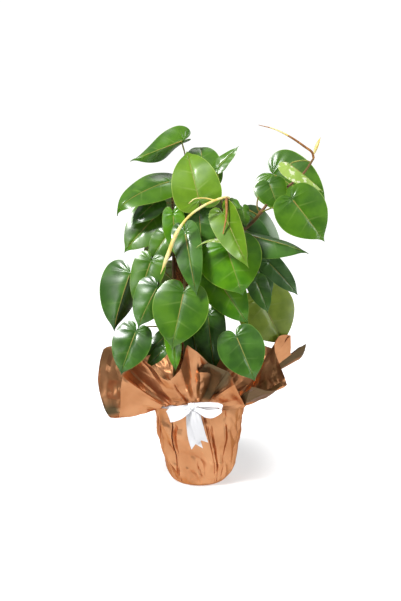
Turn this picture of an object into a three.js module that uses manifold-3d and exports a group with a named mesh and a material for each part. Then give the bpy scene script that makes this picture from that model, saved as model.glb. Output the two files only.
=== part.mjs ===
// Potted heartleaf philodendron on a coir pole, its nursery pot wrapped in copper paper with a ribbon bow.
// Millimetres, +Z up. The front is -Y, and the origin is the centre of the wrapped pot's base.
import * as THREE from "three";
import Module from "manifold-3d";
import { mergeVertices } from "three/addons/utils/BufferGeometryUtils.js";

const wasm = await Module();
wasm.setup();

// Driving dimensions
const GAP = 0.4;
const POT = { foot: 42, heel: 56, heelHeight: 16, rim: 80.1, lip: 82, height: 142, base: 1.4, wall: 1.2 };
const SOIL = { top: 128, clearance: 0.7 };
const POLE = { x: -24, y: 8, stake: 9, coirInner: 9.5, coirOuter: 22, bottom: 8, top: 502, coirBottom: 100 };
const VINE = { radius: 3, sides: 6, buried: 66, rootRing: 36 };
const CLIMB = { through: [92, 118], swing: 162, swingOut: 4, start: 188, shares: [0.3, 0.6, 0.94, 1] };
const PETIOLE = { radius: 1.5, sides: 4, steps: 3 };
const BLADE = { thickness: 0.8, rearLobe: 0.17, halfWidth: 0.48, veinSweep: 1.25 };
const PAPER = { thickness: 0.8, neckRadius: 86, neckHeight: 160, tieLow: 148, tieTilt: 14 };
const RIBBON = { thickness: 1, width: 22, band: 8, belowNeck: 4.5 };

const look = (color, roughness, metalness = 0) =>
  new THREE.MeshStandardMaterial({ color, roughness, metalness });
const MATERIALS = {
  leaf: look(0x5a8a2c, 0.35),
  youngLeaf: look(0x93b84a, 0.4),
  stem: look(0x6f6b34, 0.5),
  newShoot: look(0xe3c468, 0.45),
  brownShoot: look(0xa3713c, 0.5),
  paper: look(0xb87c4e, 0.35, 0.7),
  ribbon: look(0xfafafa, 0.4),
  pot: look(0x2f2f2f, 0.5),
  soil: look(0x3a2a1e, 0.95),
  coir: look(0x7a4a28, 0.95),
  stake: look(0xb98f5e, 0.8),
};

const group = new THREE.Group();
group.name = "potted_heartleaf_philodendron";

const degrees = THREE.MathUtils.degToRad;
const vec = (x, y, z) => new THREE.Vector3(x, y, z);

// Closed geometry with only its shared corners kept, as a solid that can be joined and cut.
function solidOf(geometry) {
  const bare = geometry.clone();
  for (const name of Object.keys(bare.attributes)) if (name !== "position") bare.deleteAttribute(name);
  const merged = mergeVertices(bare, 1e-4);
  const corners = merged.index.array;
  const kept = [];
  for (let i = 0; i < corners.length; i += 3) {
    const [a, b, c] = [corners[i], corners[i + 1], corners[i + 2]];
    if (a !== b && b !== c && c !== a) kept.push(a, b, c);
  }
  const vertProperties = new Float32Array(merged.attributes.position.array);
  return new wasm.Manifold(new wasm.Mesh({ numProp: 3, vertProperties, triVerts: new Uint32Array(kept) }));
}

function geometryOf(solid) {
  const mesh = solid.getMesh();
  const geometry = new THREE.BufferGeometry();
  geometry.setAttribute("position", new THREE.BufferAttribute(new Float32Array(mesh.vertProperties), 3));
  geometry.setIndex(new THREE.BufferAttribute(new Uint32Array(mesh.triVerts), 1));
  geometry.computeVertexNormals();
  return geometry;
}

function addPiece(name, solid, material) {
  const mesh = new THREE.Mesh(geometryOf(solid), material);
  mesh.name = name;
  group.add(mesh);
}

// A closed skin from triangles, each given as three points.
function skin(triangles) {
  const geometry = new THREE.BufferGeometry().setFromPoints(triangles.flat());
  return solidOf(geometry);
}

// A round bar along a curve, closed at both ends, with its radius given along the way.
function bar(curve, steps, sides, radiusAt) {
  const frames = curve.computeFrenetFrames(steps, false);
  const rings = [];
  for (let i = 0; i <= steps; i++) {
    const centre = curve.getPointAt(i / steps);
    const ring = [];
    for (let k = 0; k < sides; k++) {
      const turn = (2 * Math.PI * k) / sides;
      const spoke = frames.normals[i].clone().multiplyScalar(Math.cos(turn));
      spoke.addScaledVector(frames.binormals[i], Math.sin(turn));
      ring.push(centre.clone().addScaledVector(spoke, radiusAt(i / steps)));
    }
    rings.push({ centre, ring });
  }
  const triangles = [];
  const last = rings[steps];
  for (let k = 0; k < sides; k++) {
    const next = (k + 1) % sides;
    triangles.push([rings[0].centre, rings[0].ring[next], rings[0].ring[k]]);
    triangles.push([last.centre, last.ring[k], last.ring[next]]);
    for (let i = 0; i < steps; i++) {
      const [low, high] = [rings[i].ring, rings[i + 1].ring];
      triangles.push([low[k], low[next], high[next]], [low[k], high[next], high[k]]);
    }
  }
  return skin(triangles);
}

// A turned solid from [radius, height] pairs that start and end on the axis, moved as asked.
function turned(profile, sides, move = new THREE.Matrix4()) {
  const points = profile.map(([r, z]) => new THREE.Vector2(r, z));
  return solidOf(new THREE.LatheGeometry(points, sides).rotateX(Math.PI / 2).applyMatrix4(move));
}

function upright(radius, low, high, sides, x, y) {
  const cylinder = new THREE.CylinderGeometry(radius, radius, high - low, sides).rotateX(Math.PI / 2);
  return solidOf(cylinder.translate(x, y, (low + high) / 2));
}

// Nursery pot: a tapered plastic pot with a rolled lip and drain holes.
const potRadiusAt = (z) =>
  z < POT.heelHeight
    ? POT.foot + ((POT.heel - POT.foot) * z) / POT.heelHeight
    : POT.heel + ((POT.rim - POT.heel) * (z - POT.heelHeight)) / (POT.height - POT.heelHeight);

function nurseryPot() {
  const lipHeight = 9;
  const profile = [
    [0, POT.base],
    [potRadiusAt(POT.base), POT.base],
    [POT.heel, POT.heelHeight],
    [potRadiusAt(POT.height - lipHeight), POT.height - lipHeight],
    [POT.lip, POT.height - lipHeight],
    [POT.lip, POT.height],
    [POT.rim - POT.wall, POT.height],
    [POT.heel - POT.wall, POT.heelHeight + POT.wall],
    [POT.foot - POT.wall, POT.base + 2],
    [0, POT.base + 2],
  ];
  let pot = turned(profile, 28);
  const drains = 6;
  for (let i = 0; i < drains; i++) {
    const turn = (2 * Math.PI * i) / drains;
    const hole = upright(4, 0, 10, 8, 28 * Math.cos(turn), 28 * Math.sin(turn));
    pot = pot.subtract(hole);
  }
  return pot;
}

// Vines: each is rooted round the pole, climbs against its coir and leaves it near the top.
function climbing(angle, leaveHeight, beyond) {
  const at = (radius, z) =>
    vec(POLE.x + radius * Math.cos(degrees(angle)), POLE.y + radius * Math.sin(degrees(angle)), z);
  const close = POLE.coirOuter + VINE.radius + 1.5 * GAP;
  const ring = VINE.rootRing;
  const points = [VINE.buried, ...CLIMB.through, SOIL.top + 8].map((z) => at(ring, z));
  points.push(at(close + CLIMB.swingOut, CLIMB.swing), at(close, CLIMB.start));
  for (const share of CLIMB.shares) points.push(at(close, CLIMB.start + (leaveHeight - CLIMB.start) * share));
  return new THREE.CatmullRomCurve3([...points, ...beyond.map((p) => vec(...p))], false, "centripetal");
}

const VINES = {
  front: climbing(262, 490, [[-24, -23, 530], [-20, -28, 566]]),
  front_right: climbing(310, 440, [[18, -30, 496], [42, -60, 536], [54, -88, 563]]),
  right: climbing(352, 380, [
    [26, -8, 432],
    [67, -20, 478],
    [102, -30, 512],
    [118, -38, 534],
    [136, -36, 556],
    [168, -36, 580],
    [192, -42, 602],
    [210, -45, 630],
  ]),
  left: climbing(196, 490, [[-50, -2, 530], [-50, -4, 566]]),
  back_left: climbing(132, 480, [[-40, 36, 520], [-38, 44, 552]]),
  back_right: climbing(48, 470, [[2, 38, 520], [14, 46, 552]]),
};

const vineRadiusAt = (t) => VINE.radius * (t < 0.75 ? 1 : 1 - 0.35 * ((t - 0.75) / 0.25));

function vineSolid(curve, clearance = 0) {
  const extra = clearance / Math.cos(Math.PI / VINE.sides);
  return bar(curve, Math.round(curve.getLength() / 32), VINE.sides, (t) => vineRadiusAt(t) + extra);
}
const VINE_CLEARANCES = Object.fromEntries(
  Object.entries(VINES).map(([name, curve]) => [name, vineSolid(curve, GAP)]),
);

// The vine's centre, direction and radius where it passes a height.
function vineAt(name, height) {
  const curve = VINES[name];
  let [low, high] = [0, 1];
  for (let i = 0; i < 30; i++) {
    const middle = (low + high) / 2;
    if (curve.getPointAt(middle).z < height) low = middle;
    else high = middle;
  }
  return { centre: curve.getPointAt(low), direction: curve.getTangentAt(low), radius: vineRadiusAt(low) };
}

// Leaf blade: a heart, one long from petiole joint to tip, given by half of its outline from notch to tip.
const LOBE = BLADE.rearLobe;
const HALF_OUTLINE = [
  { from: [0, 0], pull: [-0.06, 0.01], push: [-LOBE, 0.05], to: [-LOBE, 0.18], steps: 2 },
  { from: [-LOBE, 0.18], pull: [-LOBE, 0.36], push: [-0.06, 0.48], to: [0.14, 0.48], steps: 3 },
  { from: [0.14, 0.48], pull: [0.45, 0.48], push: [0.71, 0.31], to: [0.86, 0.1], steps: 3 },
  { from: [0.86, 0.1], pull: [0.91, 0.04], push: [0.95, 0.015], to: [1, 0], steps: 1 },
];
const MIDRIB_STEPS = 24;
const CROSS_RINGS = [0, 0.55, 1];

function outlinePoints() {
  const points = [new THREE.Vector2(0, 0)];
  for (const { from, pull, push, to, steps } of HALF_OUTLINE) {
    const curve = new THREE.CubicBezierCurve(...[from, pull, push, to].map((p) => new THREE.Vector2(...p)));
    for (let i = 1; i <= steps; i++) points.push(curve.getPoint(i / steps));
  }
  return points;
}
const OUTLINE = outlinePoints();

// Where the side vein that ends at an outline point leaves the midrib.
const veinRoot = (u) => Math.max(0, (u - 0.14) / 0.86) ** BLADE.veinSweep;

// The midrib's side view: it arches by bend and hangs by droop at the tip, and spans exactly one.
function midribOf({ bend, droop }) {
  const heading = (u) => -bend * u - droop * Math.max(0, (u - 0.6) / 0.4) ** 2;
  const points = [new THREE.Vector2(0, 0)];
  for (let i = 0; i < MIDRIB_STEPS; i++) {
    const h = heading((i + 0.5) / MIDRIB_STEPS);
    const step = new THREE.Vector2(Math.cos(h), Math.sin(h)).divideScalar(MIDRIB_STEPS);
    points.push(step.add(points[i]));
  }
  const end = points[MIDRIB_STEPS];
  const [turn, scale] = [-Math.atan2(end.y, end.x), 1 / end.length()];
  return (u) => {
    const place = new THREE.Vector2();
    if (u < 0) {
      const h = heading(u / 2);
      place.set(Math.cos(h) * u, Math.sin(h) * u);
    } else {
      const step = Math.min(MIDRIB_STEPS - 1, Math.floor(u * MIDRIB_STEPS));
      place.lerpVectors(points[step], points[step + 1], u * MIDRIB_STEPS - step);
    }
    place.rotateAround(new THREE.Vector2(0, 0), turn).multiplyScalar(scale);
    return { place, heading: heading(u) + turn };
  };
}

const LEAF_DEFAULTS = {
  width: 0.92,
  full: 0,
  fold: [6, 6],
  curl: [-14, -14],
  bend: 0.35,
  droop: 0.5,
  twist: 0,
  wave: 1.5,
};

// Turns flat blade coordinates (along the midrib, out to the side) into a place and a direction on the leaf.
function bladeOf(leaf) {
  const joint = vec(...leaf.joint);
  const chord = vec(...leaf.tip).sub(joint);
  const length = chord.length();
  const forward = chord.normalize();
  const [azimuth, elevation] = leaf.face.map(degrees);
  const face = vec(
    Math.sin(azimuth) * Math.cos(elevation),
    -Math.cos(azimuth) * Math.cos(elevation),
    Math.sin(elevation),
  );
  face.addScaledVector(forward, -face.dot(forward)).normalize();
  const side = face.clone().cross(forward);
  const midrib = midribOf(leaf);
  const halfWidth = (leaf.width * length) / 2;
  return (u, v) => {
    const { place, heading } = midrib(u);
    const sideways = v < 0 ? 1 : 0;
    const fold = degrees(leaf.fold[sideways]);
    const fullness = 1 + leaf.full * 4 * Math.max(0, u) * (1 - u);
    const out = (Math.abs(v) / BLADE.halfWidth) * halfWidth * fullness;
    const turnPerLength = degrees(leaf.curl[sideways]) / halfWidth + 1e-6;
    const angle = fold + turnPerLength * out;
    const across = (Math.sin(angle) - Math.sin(fold)) / turnPerLength;
    const ripple = leaf.wave * (v / BLADE.halfWidth) ** 2 * Math.sin(9 * u + 4 * Math.sign(v) + joint.x);
    const lift = (Math.cos(fold) - Math.cos(angle)) / turnPerLength + ripple;
    const turn = degrees(leaf.twist) * Math.max(0, u);
    const level = face.clone().multiplyScalar(Math.cos(heading)).addScaledVector(forward, -Math.sin(heading));
    const up = level.clone().multiplyScalar(Math.cos(turn)).addScaledVector(side, -Math.sin(turn));
    const aside = side.clone().multiplyScalar(Math.cos(turn)).addScaledVector(level, Math.sin(turn));
    const along = forward.clone().multiplyScalar(Math.cos(heading)).addScaledVector(face, Math.sin(heading));
    const point = joint.clone().addScaledVector(forward, place.x * length);
    point.addScaledVector(face, place.y * length);
    point.addScaledVector(up, lift).addScaledVector(aside, Math.sign(v) * across);
    const lean = v === 0 ? 0 : angle;
    const normal = up.clone().multiplyScalar(Math.cos(lean));
    normal.addScaledVector(aside, -Math.sign(v) * Math.sin(lean));
    return { point, normal, along, up };
  };
}

function bladeSolid(at) {
  const triangles = [];
  const corner = (column, ring, sign, layer) => {
    const edge = OUTLINE[column];
    const root = veinRoot(edge.x);
    const u = root + (edge.x - root) * CROSS_RINGS[ring];
    const { point, normal } = at(u, sign * edge.y * CROSS_RINGS[ring]);
    return point.addScaledVector(normal, (layer * BLADE.thickness) / 2);
  };
  const push = (a, b, c, flip) => triangles.push(flip ? [a, c, b] : [a, b, c]);
  const rim = CROSS_RINGS.length - 1;
  for (const sign of [-1, 1])
    for (let i = 0; i + 1 < OUTLINE.length; i++) {
      for (const layer of [-1, 1])
        for (let j = 0; j < rim; j++) {
          const [a, b] = [corner(i, j, sign, layer), corner(i + 1, j, sign, layer)];
          const [c, d] = [corner(i + 1, j + 1, sign, layer), corner(i, j + 1, sign, layer)];
          push(a, b, c, sign * layer < 0);
          push(a, c, d, sign * layer < 0);
        }
      const [low, lowNext] = [corner(i, rim, sign, -1), corner(i + 1, rim, sign, -1)];
      const [high, highNext] = [corner(i, rim, sign, 1), corner(i + 1, rim, sign, 1)];
      push(low, high, highNext, sign < 0);
      push(low, highNext, lowNext, sign < 0);
    }
  return skin(triangles);
}

// The petiole springs from inside its vine, arches and runs a little way under the blade as the midrib.
function petioleSolid(leaf, at) {
  const { point: joint, along, up } = at(0, 0);
  const vine = vineAt(...leaf.from);
  const out = joint.clone().sub(vine.centre);
  out.addScaledVector(vine.direction, -out.dot(vine.direction)).normalize();
  const base = vine.centre.clone().addScaledVector(out, 0.3 * vine.radius);
  const reach = joint.distanceTo(base);
  const root = joint.clone().addScaledVector(along, 5).addScaledVector(up, -0.6);
  const taper = (t) => PETIOLE.radius * (1 - 0.2 * t);
  if (leaf.via) {
    const curve = new THREE.CatmullRomCurve3([base, vec(...leaf.via), root]);
    return bar(curve, 5, PETIOLE.sides, taper);
  }
  const leaving = base.clone().addScaledVector(out, 0.35 * reach);
  leaving.z += 0.1 * reach;
  const arriving = joint.clone().addScaledVector(along, -0.22 * reach).addScaledVector(up, -0.28 * reach);
  const curve = new THREE.CubicBezierCurve3(base, leaving, arriving, root);
  return bar(curve, PETIOLE.steps, PETIOLE.sides, taper);
}

function leafSolid(leaf) {
  const at = bladeOf(leaf);
  return bladeSolid(at).add(petioleSolid(leaf, at).subtract(VINE_CLEARANCES[leaf.from[0]]));
}

// Leaves: where petiole meets blade, where the tip hangs, the vine and height that each springs from,
// which way the face looks (round from the front, and up), then what differs from the usual shape.
const LEAVES = [
  { joint: [-28, -20, 661], tip: [-127, -45, 625], from: ["back_left", 530],
    face: [-8, 8], width: 0.58, fold: [-72, 4], curl: [-30, -20], twist: 85, via: [-26, 22, 616] },
  { joint: [-53, -16, 584], tip: [-151, -60, 525], from: ["left", 545],
    face: [-14, 44], width: 0.6, fold: [3, 3], curl: [-22, -22], bend: 0.7, droop: 1.2 },
  { joint: [0, -80, 558], tip: [-23, -24, 641], from: ["front", 540],
    face: [-6, 26], width: 0.88, bend: 1.0, droop: 0.1, curl: [-6, -6] },
  { joint: [7, -10, 585], tip: [1, 44, 637], from: ["back_right", 520],
    face: [4, 30], width: 1.0, bend: 1.7, droop: 0.6, curl: [-6, -6] },
  { joint: [33, -26, 610], tip: [73, -20, 650], from: ["front_right", 540],
    face: [-35, 20], width: 0.5, bend: 0.2, droop: -0.4 },
  { joint: [138, 12, 594], tip: [241, -8, 530], from: ["right", 565],
    face: [0, 18], width: 0.95, via: [140, -8, 584] },
  { joint: [128, -56, 586], tip: [146, -68, 538], from: ["right", 528], face: [-5, 36], width: 1.12 },
  { joint: [164, -62, 622], tip: [226, -78, 572], from: ["right", 622],
    face: [5, 30], width: 0.66, fold: [-72, 12], curl: [-10, -10], droop: 0.2 },
  { joint: [168, -99, 563], tip: [228, -107, 485], from: ["right", 530],
    face: [5, 18], width: 0.9, full: 0.16, bend: 0.2, droop: 0.2, via: [150, -92, 552] },
  { joint: [69, 8, 503], tip: [143, 2, 443], from: ["right", 470], face: [12, 15], width: 0.7 },
  { joint: [84, 56, 498], tip: [155, 56, 418], from: ["right", 452], face: [14, 30], width: 0.86 },
  { joint: [73, -66, 495], tip: [201, -90, 460], from: ["right", 440],
    face: [4, 28], width: 0.54, full: 0.1, fold: [-50, 0], curl: [-20, -16] },
  { joint: [49, -96, 476], tip: [80, -112, 386], from: ["front_right", 435],
    face: [-6, 18], width: 1.16, full: 0.1 },
  { joint: [72, -117, 470], tip: [-6, -124, 477], from: ["front_right", 505],
    face: [0, 74], width: 0.25, bend: 1.8, droop: 0, fold: [3, 3], via: [50, -94, 492] },
  { joint: [45, -98, 535], tip: [89, -164, 446], from: ["front_right", 536],
    face: [-6, 16], width: 0.52, fold: [40, 8], curl: [-4, -4], bend: 0.2 },
  { joint: [-26, -102, 503], tip: [-4, -134, 389], from: ["front", 430],
    face: [-5, 22], width: 0.44, bend: 0.5, droop: 0.6, via: [-34, -84, 468] },
  { joint: [0, -61, 529], tip: [7, -71, 453], from: ["front", 505], face: [-6, 22], width: 0.9 },
  { joint: [-73, -19, 527], tip: [-140, -38, 452], from: ["left", 482], face: [-16, 16], width: 0.82 },
  { joint: [-78, -36, 550], tip: [-124, -50, 505], from: ["left", 540],
    face: [-20, 30], width: 0.72, fold: [2, 2], curl: [-30, -30] },
  { joint: [-60, -52, 487], tip: [-91, -58, 439], from: ["left", 448], face: [-8, 20], width: 0.82 },
  { joint: [-48, -66, 530], tip: [-41, -70, 449], from: ["front", 462], face: [-6, 14], width: 0.52 },
  { joint: [-89, -75, 444], tip: [-115, -85, 356], from: ["left", 395], face: [-10, 24], width: 0.68 },
  { joint: [-129, -46, 416], tip: [-159, -58, 306], from: ["left", 366], face: [-18, 10], fold: [-70, 2] },
  { joint: [-77, -102, 401], tip: [-112, -114, 326], from: ["left", 340],
    face: [-12, 24], width: 0.84, fold: [-30, 6] },
  { joint: [-28, -118, 395], tip: [-50, -136, 290], from: ["front", 372],
    face: [-5, 8], width: 0.86, full: 0.16 },
  { joint: [-50, -92, 314], tip: [-43, -108, 242], from: ["front", 288],
    face: [0, 15], width: 0.46, fold: [24, 24] },
  { joint: [-117, -88, 315], tip: [-145, -102, 234], from: ["left", 298],
    face: [-10, 16], width: 0.78, full: 0.14 },
  { joint: [-59, -52, 301], tip: [-105, -64, 257], from: ["left", 270], face: [-6, 30], width: 0.5 },
  { joint: [-66, -78, 278], tip: [-99, -80, 242], from: ["left", 232], face: [-4, 24], width: 0.5 },
  { joint: [16, -54, 337], tip: [29, -74, 233], from: ["front_right", 330], face: [-5, 12], width: 0.6 },
  { joint: [68, -98, 308], tip: [103, -112, 224], from: ["front_right", 285],
    face: [4, 16], width: 0.86, full: 0.16, via: [66, -60, 298] },
  { joint: [114, 6, 359], tip: [161, 12, 264], from: ["right", 330],
    face: [5, 20], width: 0.96, full: 0.16 },
  { joint: [105, -56, 403], tip: [128, -62, 343], from: ["right", 385], face: [5, 20], width: 0.66 },
  { joint: [100, 12, 430], tip: [138, 6, 361], from: ["right", 420], face: [5, 20], width: 0.66 },
  { joint: [129, -28, 433], tip: [185, -40, 371], from: ["right", 440], face: [10, 20], width: 0.52 },
  { joint: [24, -66, 422], tip: [92, -80, 324], from: ["front", 412], face: [-4, 12], width: 0.68 },
  { joint: [57, -54, 552], tip: [77, -62, 537], from: ["right", 522], face: [10, 36], width: 0.8 },
  { joint: [80, -58, 540], tip: [86, -66, 504], from: ["right", 514], face: [10, 30], width: 0.62 },
  { joint: [-16, -38, 324], tip: [-1, -55, 236], from: ["front", 312], face: [0, 12], width: 0.5 },
  { joint: [-42, 64, 548], tip: [-70, 122, 466], from: ["back_left", 530], face: [200, 20] },
  { joint: [20, 70, 530], tip: [34, 128, 440], from: ["back_right", 534], face: [165, 20] },
  { joint: [-56, 54, 472], tip: [-84, 98, 384], from: ["back_left", 440], face: [215, 20] },
  { joint: [2, 96, 440], tip: [-4, 142, 346], from: ["back_left", 450], face: [185, 20] },
  { joint: [78, 86, 450], tip: [108, 120, 362], from: ["back_right", 430], face: [140, 20] },
  { joint: [-44, 88, 404], tip: [-64, 132, 308], from: ["back_left", 350], face: [205, 15] },
  { joint: [52, 82, 420], tip: [78, 128, 330], from: ["back_right", 360], face: [150, 15] },
];

// New shoots: rolled leaves and sheaths that carry on from the ends of two vines.
function shootFrom(name, beyond) {
  const [end, direction] = [VINES[name].getPointAt(1), VINES[name].getTangentAt(1)];
  const start = [GAP, 5].map((step) => end.clone().addScaledVector(direction, step));
  return new THREE.CatmullRomCurve3([...start, ...beyond.map((p) => vec(...p))], false, "centripetal");
}

const sprig = (points) => new THREE.CatmullRomCurve3(points.map((p) => vec(...p)));

function frontShoot() {
  const shoot = shootFrom("front_right", [
    [47, -100, 566],
    [30, -108, 562],
    [8, -117, 553],
    [-15, -124, 538],
    [-33, -129, 518],
    [-46, -133, 494],
    [-55, -134, 470],
    [-64, -134, 446],
    [-70, -134, 431],
  ]);
  const swelling = (t) => (t < 0.55 ? 2.4 : t < 0.9 ? 3.8 : 3.8 - 28 * (t - 0.9));
  const sheath = sprig([[49, -99, 565], [49, -120, 535], [43, -130, 504]]);
  const tendril = sprig([[30, -108, 561], [10, -112, 566], [-9, -116, 565], [-19, -118, 557]]);
  return bar(shoot, 18, 6, swelling)
    .add(bar(sheath, 5, 5, (t) => 2.8 - 1.6 * t))
    .add(bar(tendril, 5, 4, (t) => 1.6 - 0.8 * t));
}

function sideShoot() {
  const shoot = shootFrom("right", [
    [207, -45, 641],
    [194, -45, 651],
    [166, -48, 670],
    [138, -50, 684],
    [108, -52, 692],
  ]);
  const sheath = sprig([[210, -45, 637], [216, -44, 654], [222, -42, 668]]);
  return bar(shoot, 10, 6, (t) => 2.4 - 1.8 * t * t).add(bar(sheath, 3, 4, (t) => 2.8 - 1.2 * t));
}

// Copper paper: a gathered sheet round the pot, tied under its lip, with its free edge flared above.
// Angles run round from the front, towards +X. Each collar point is the angle where its fold leaves the neck,
// then where the free edge lies, then how far the fold stands up, or droops, as it leaves the neck.
const COLLAR = [
  [-150, -112, 92, 226, 8],
  [-130, -160, 58, 250, 6],
  [-114, -186, 22, 252, 4],
  [-100, -195, 0, 198, -3],
  [-88, -184, -20, 154, -9],
  [-76, -168, -45, 139, -11],
  [-63, -150, -72, 145, -16],
  [-50, -147, -85, 201, -14],
  [-40, -142, -90, 229, -12],
  [-32, -124, -62, 238, -12],
  [-23, -102, -105, 262, -12],
  [-17, -76, -115, 239, -9],
  [-13, -54, -122, 230, -6],
  [-9, -36, -112, 250, -3],
  [-5, -23, -95, 290, 2],
  [-1, -4, -100, 278, 4],
  [3, 20, -115, 252, -4],
  [7, 36, -125, 250, -4],
  [11, 53, -120, 245, 6],
  [16, 62, -143, 224, 8],
  [22, 86, -127, 178, -11],
  [30, 97, -122, 216, -14],
  [39, 118, -100, 205, -14],
  [49, 146, -75, 196, -13],
  [59, 166, -58, 203, -12],
  [69, 154, -42, 236, -10],
  [79, 141, -28, 264, -4],
  [89, 150, -10, 287, 4],
  [99, 177, 0, 284, 4],
  [109, 176, 10, 244, 2],
  [120, 205, 16, 266, 6],
  [133, 194, 36, 228, 0],
  [148, 128, 84, 244, 8],
  [162, 76, 108, 224, 0],
  [176, 24, 128, 252, 8],
  [192, -38, 118, 226, 0],
];
// Pleats: the angle at the neck, the angle at the foot and the depth of each fold in the body.
const PLEATS = [
  [-34, -42, 5.5],
  [2, 38, 5.5],
  [33, 44, 4.5],
  [63, 74, 5],
  [98, 104, 3],
  [136, 128, 4],
  [168, 160, 3],
  [-160, -150, 4],
  [-126, -132, 3],
  [-92, -86, 3.5],
  [-64, -66, 3],
];
// The paper body's outer radius at each height, before it is pleated.
const BODY = [
  [0, 0],
  [44, 0],
  [52, 5],
  [61.5, 17],
  [68.5, 38],
  [81, 90],
  [86.5, 140],
  [86, 160],
];
const PLEAT_WIDTH = 7;

function pleatDepth(angle, height) {
  if (height <= 0) return 0;
  const climb = height / PAPER.neckHeight;
  let depth = 0;
  for (const [neck, foot, deep] of PLEATS) {
    const away = THREE.MathUtils.euclideanModulo(angle - (foot + (neck - foot) * climb) + 180, 360) - 180;
    depth += deep * Math.exp(-((away / PLEAT_WIDTH) ** 2));
  }
  const fade = Math.min(1, height / 34, Math.max(0, (PAPER.tieLow - height) / 50));
  return depth * fade;
}

const around = (angle, radius, z) =>
  vec(radius * Math.sin(degrees(angle)), -radius * Math.cos(degrees(angle)), z);

// The free edge as a closed curve, and the columns of the sheet: one at each collar point and one between.
function paperColumns() {
  const edge = new THREE.CatmullRomCurve3(COLLAR.map(([, x, y, z]) => vec(x, y, z)), true, "centripetal");
  const columns = [];
  COLLAR.forEach(([angle, , , , arch], i) => {
    const [nextAngle, , , , nextArch] = COLLAR[(i + 1) % COLLAR.length];
    const span = THREE.MathUtils.euclideanModulo(nextAngle - angle, 360);
    for (const share of [0, 0.5]) {
      const turn = angle + span * share;
      const rise = arch + (nextArch - arch) * share;
      const rim = edge.getPoint((i + share) / COLLAR.length);
      const tilt = PAPER.tieTilt * Math.cos(degrees(turn));
      const points = BODY.slice(1).map(([r, z]) =>
        around(turn, r - pleatDepth(turn, z), z + tilt * (z / PAPER.neckHeight) ** 2),
      );
      const neck = points.at(-1);
      for (const t of [0.1, 0.4, 0.7, 1]) {
        const point = neck.clone().lerp(rim, t);
        point.z += rise * Math.sqrt(1 - t);
        points.push(point);
      }
      columns.push(points);
    }
  });
  return columns;
}

function paperSolid() {
  const outer = paperColumns();
  const [count, rows] = [outer.length, outer[0].length];
  const at = (i, j) => outer[(i + count) % count][j];
  // The inner face lies one thickness inside, against the mean of the directions of the faces at each point.
  const inner = outer.map((column, i) =>
    column.map((point, j) => {
      const normal = vec(0, 0, 0);
      const right = at(i + 1, j).clone().sub(point);
      const left = at(i - 1, j).clone().sub(point);
      const above = j + 1 < rows ? at(i, j + 1).clone().sub(point) : null;
      const below = j > 0 ? at(i, j - 1).clone().sub(point) : vec(-point.x, -point.y, 0);
      if (above) normal.add(right.clone().cross(above).normalize());
      if (above) normal.add(above.clone().cross(left).normalize());
      normal.add(left.clone().cross(below).normalize()).add(below.clone().cross(right).normalize());
      return point.clone().addScaledVector(normal.normalize(), -PAPER.thickness);
    }),
  );
  const triangles = [];
  const quad = (a, b, c, d) => triangles.push([a, b, c], [a, c, d]);
  const base = vec(0, 0, 0);
  const floor = vec(0, 0, PAPER.thickness);
  const top = rows - 1;
  for (let i = 0; i < count; i++) {
    const next = (i + 1) % count;
    const [out, outNext, back, backNext] = [outer[i], outer[next], inner[i], inner[next]];
    triangles.push([base, outNext[0], out[0]], [floor, back[0], backNext[0]]);
    for (let j = 0; j < top; j++) {
      quad(out[j], outNext[j], outNext[j + 1], out[j + 1]);
      quad(back[j], back[j + 1], backNext[j + 1], backNext[j]);
    }
    quad(out[top], outNext[top], backNext[top], back[top]);
  }
  return skin(triangles);
}

// Ribbon: a band round the neck, a knot, two loops and two notched tails, from flat strips laid out from the knot.
const KNOT = { at: [-13, -93, 171], size: [17, 13, 17] };

function strip(stations) {
  const corners = stations.map(({ at, half }, i) => {
    const before = stations[Math.max(0, i - 1)].at;
    const after = stations[Math.min(stations.length - 1, i + 1)].at;
    const along = vec(...after).sub(vec(...before)).normalize();
    const width = vec(...half);
    const through = along.cross(width).normalize().multiplyScalar(RIBBON.thickness / 2);
    const centre = vec(...at).add(vec(...KNOT.at));
    return [
      centre.clone().add(width).add(through),
      centre.clone().sub(width).add(through),
      centre.clone().sub(width).sub(through),
      centre.clone().add(width).sub(through),
    ];
  });
  const triangles = [];
  for (let i = 0; i + 1 < corners.length; i++)
    for (let k = 0; k < 4; k++) {
      const [a, b] = [corners[i][k], corners[i][(k + 1) % 4]];
      const [c, d] = [corners[i + 1][(k + 1) % 4], corners[i + 1][k]];
      triangles.push([a, b, c], [a, c, d]);
    }
  const [first, last] = [corners[0], corners.at(-1)];
  triangles.push([first[0], first[2], first[1]], [first[0], first[3], first[2]]);
  triangles.push([last[0], last[1], last[2]], [last[0], last[2], last[3]]);
  const solid = skin(triangles);
  if (solid.volume() > 0) return solid;
  return skin(triangles.map(([a, b, c]) => [a, c, b]));
}

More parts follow.
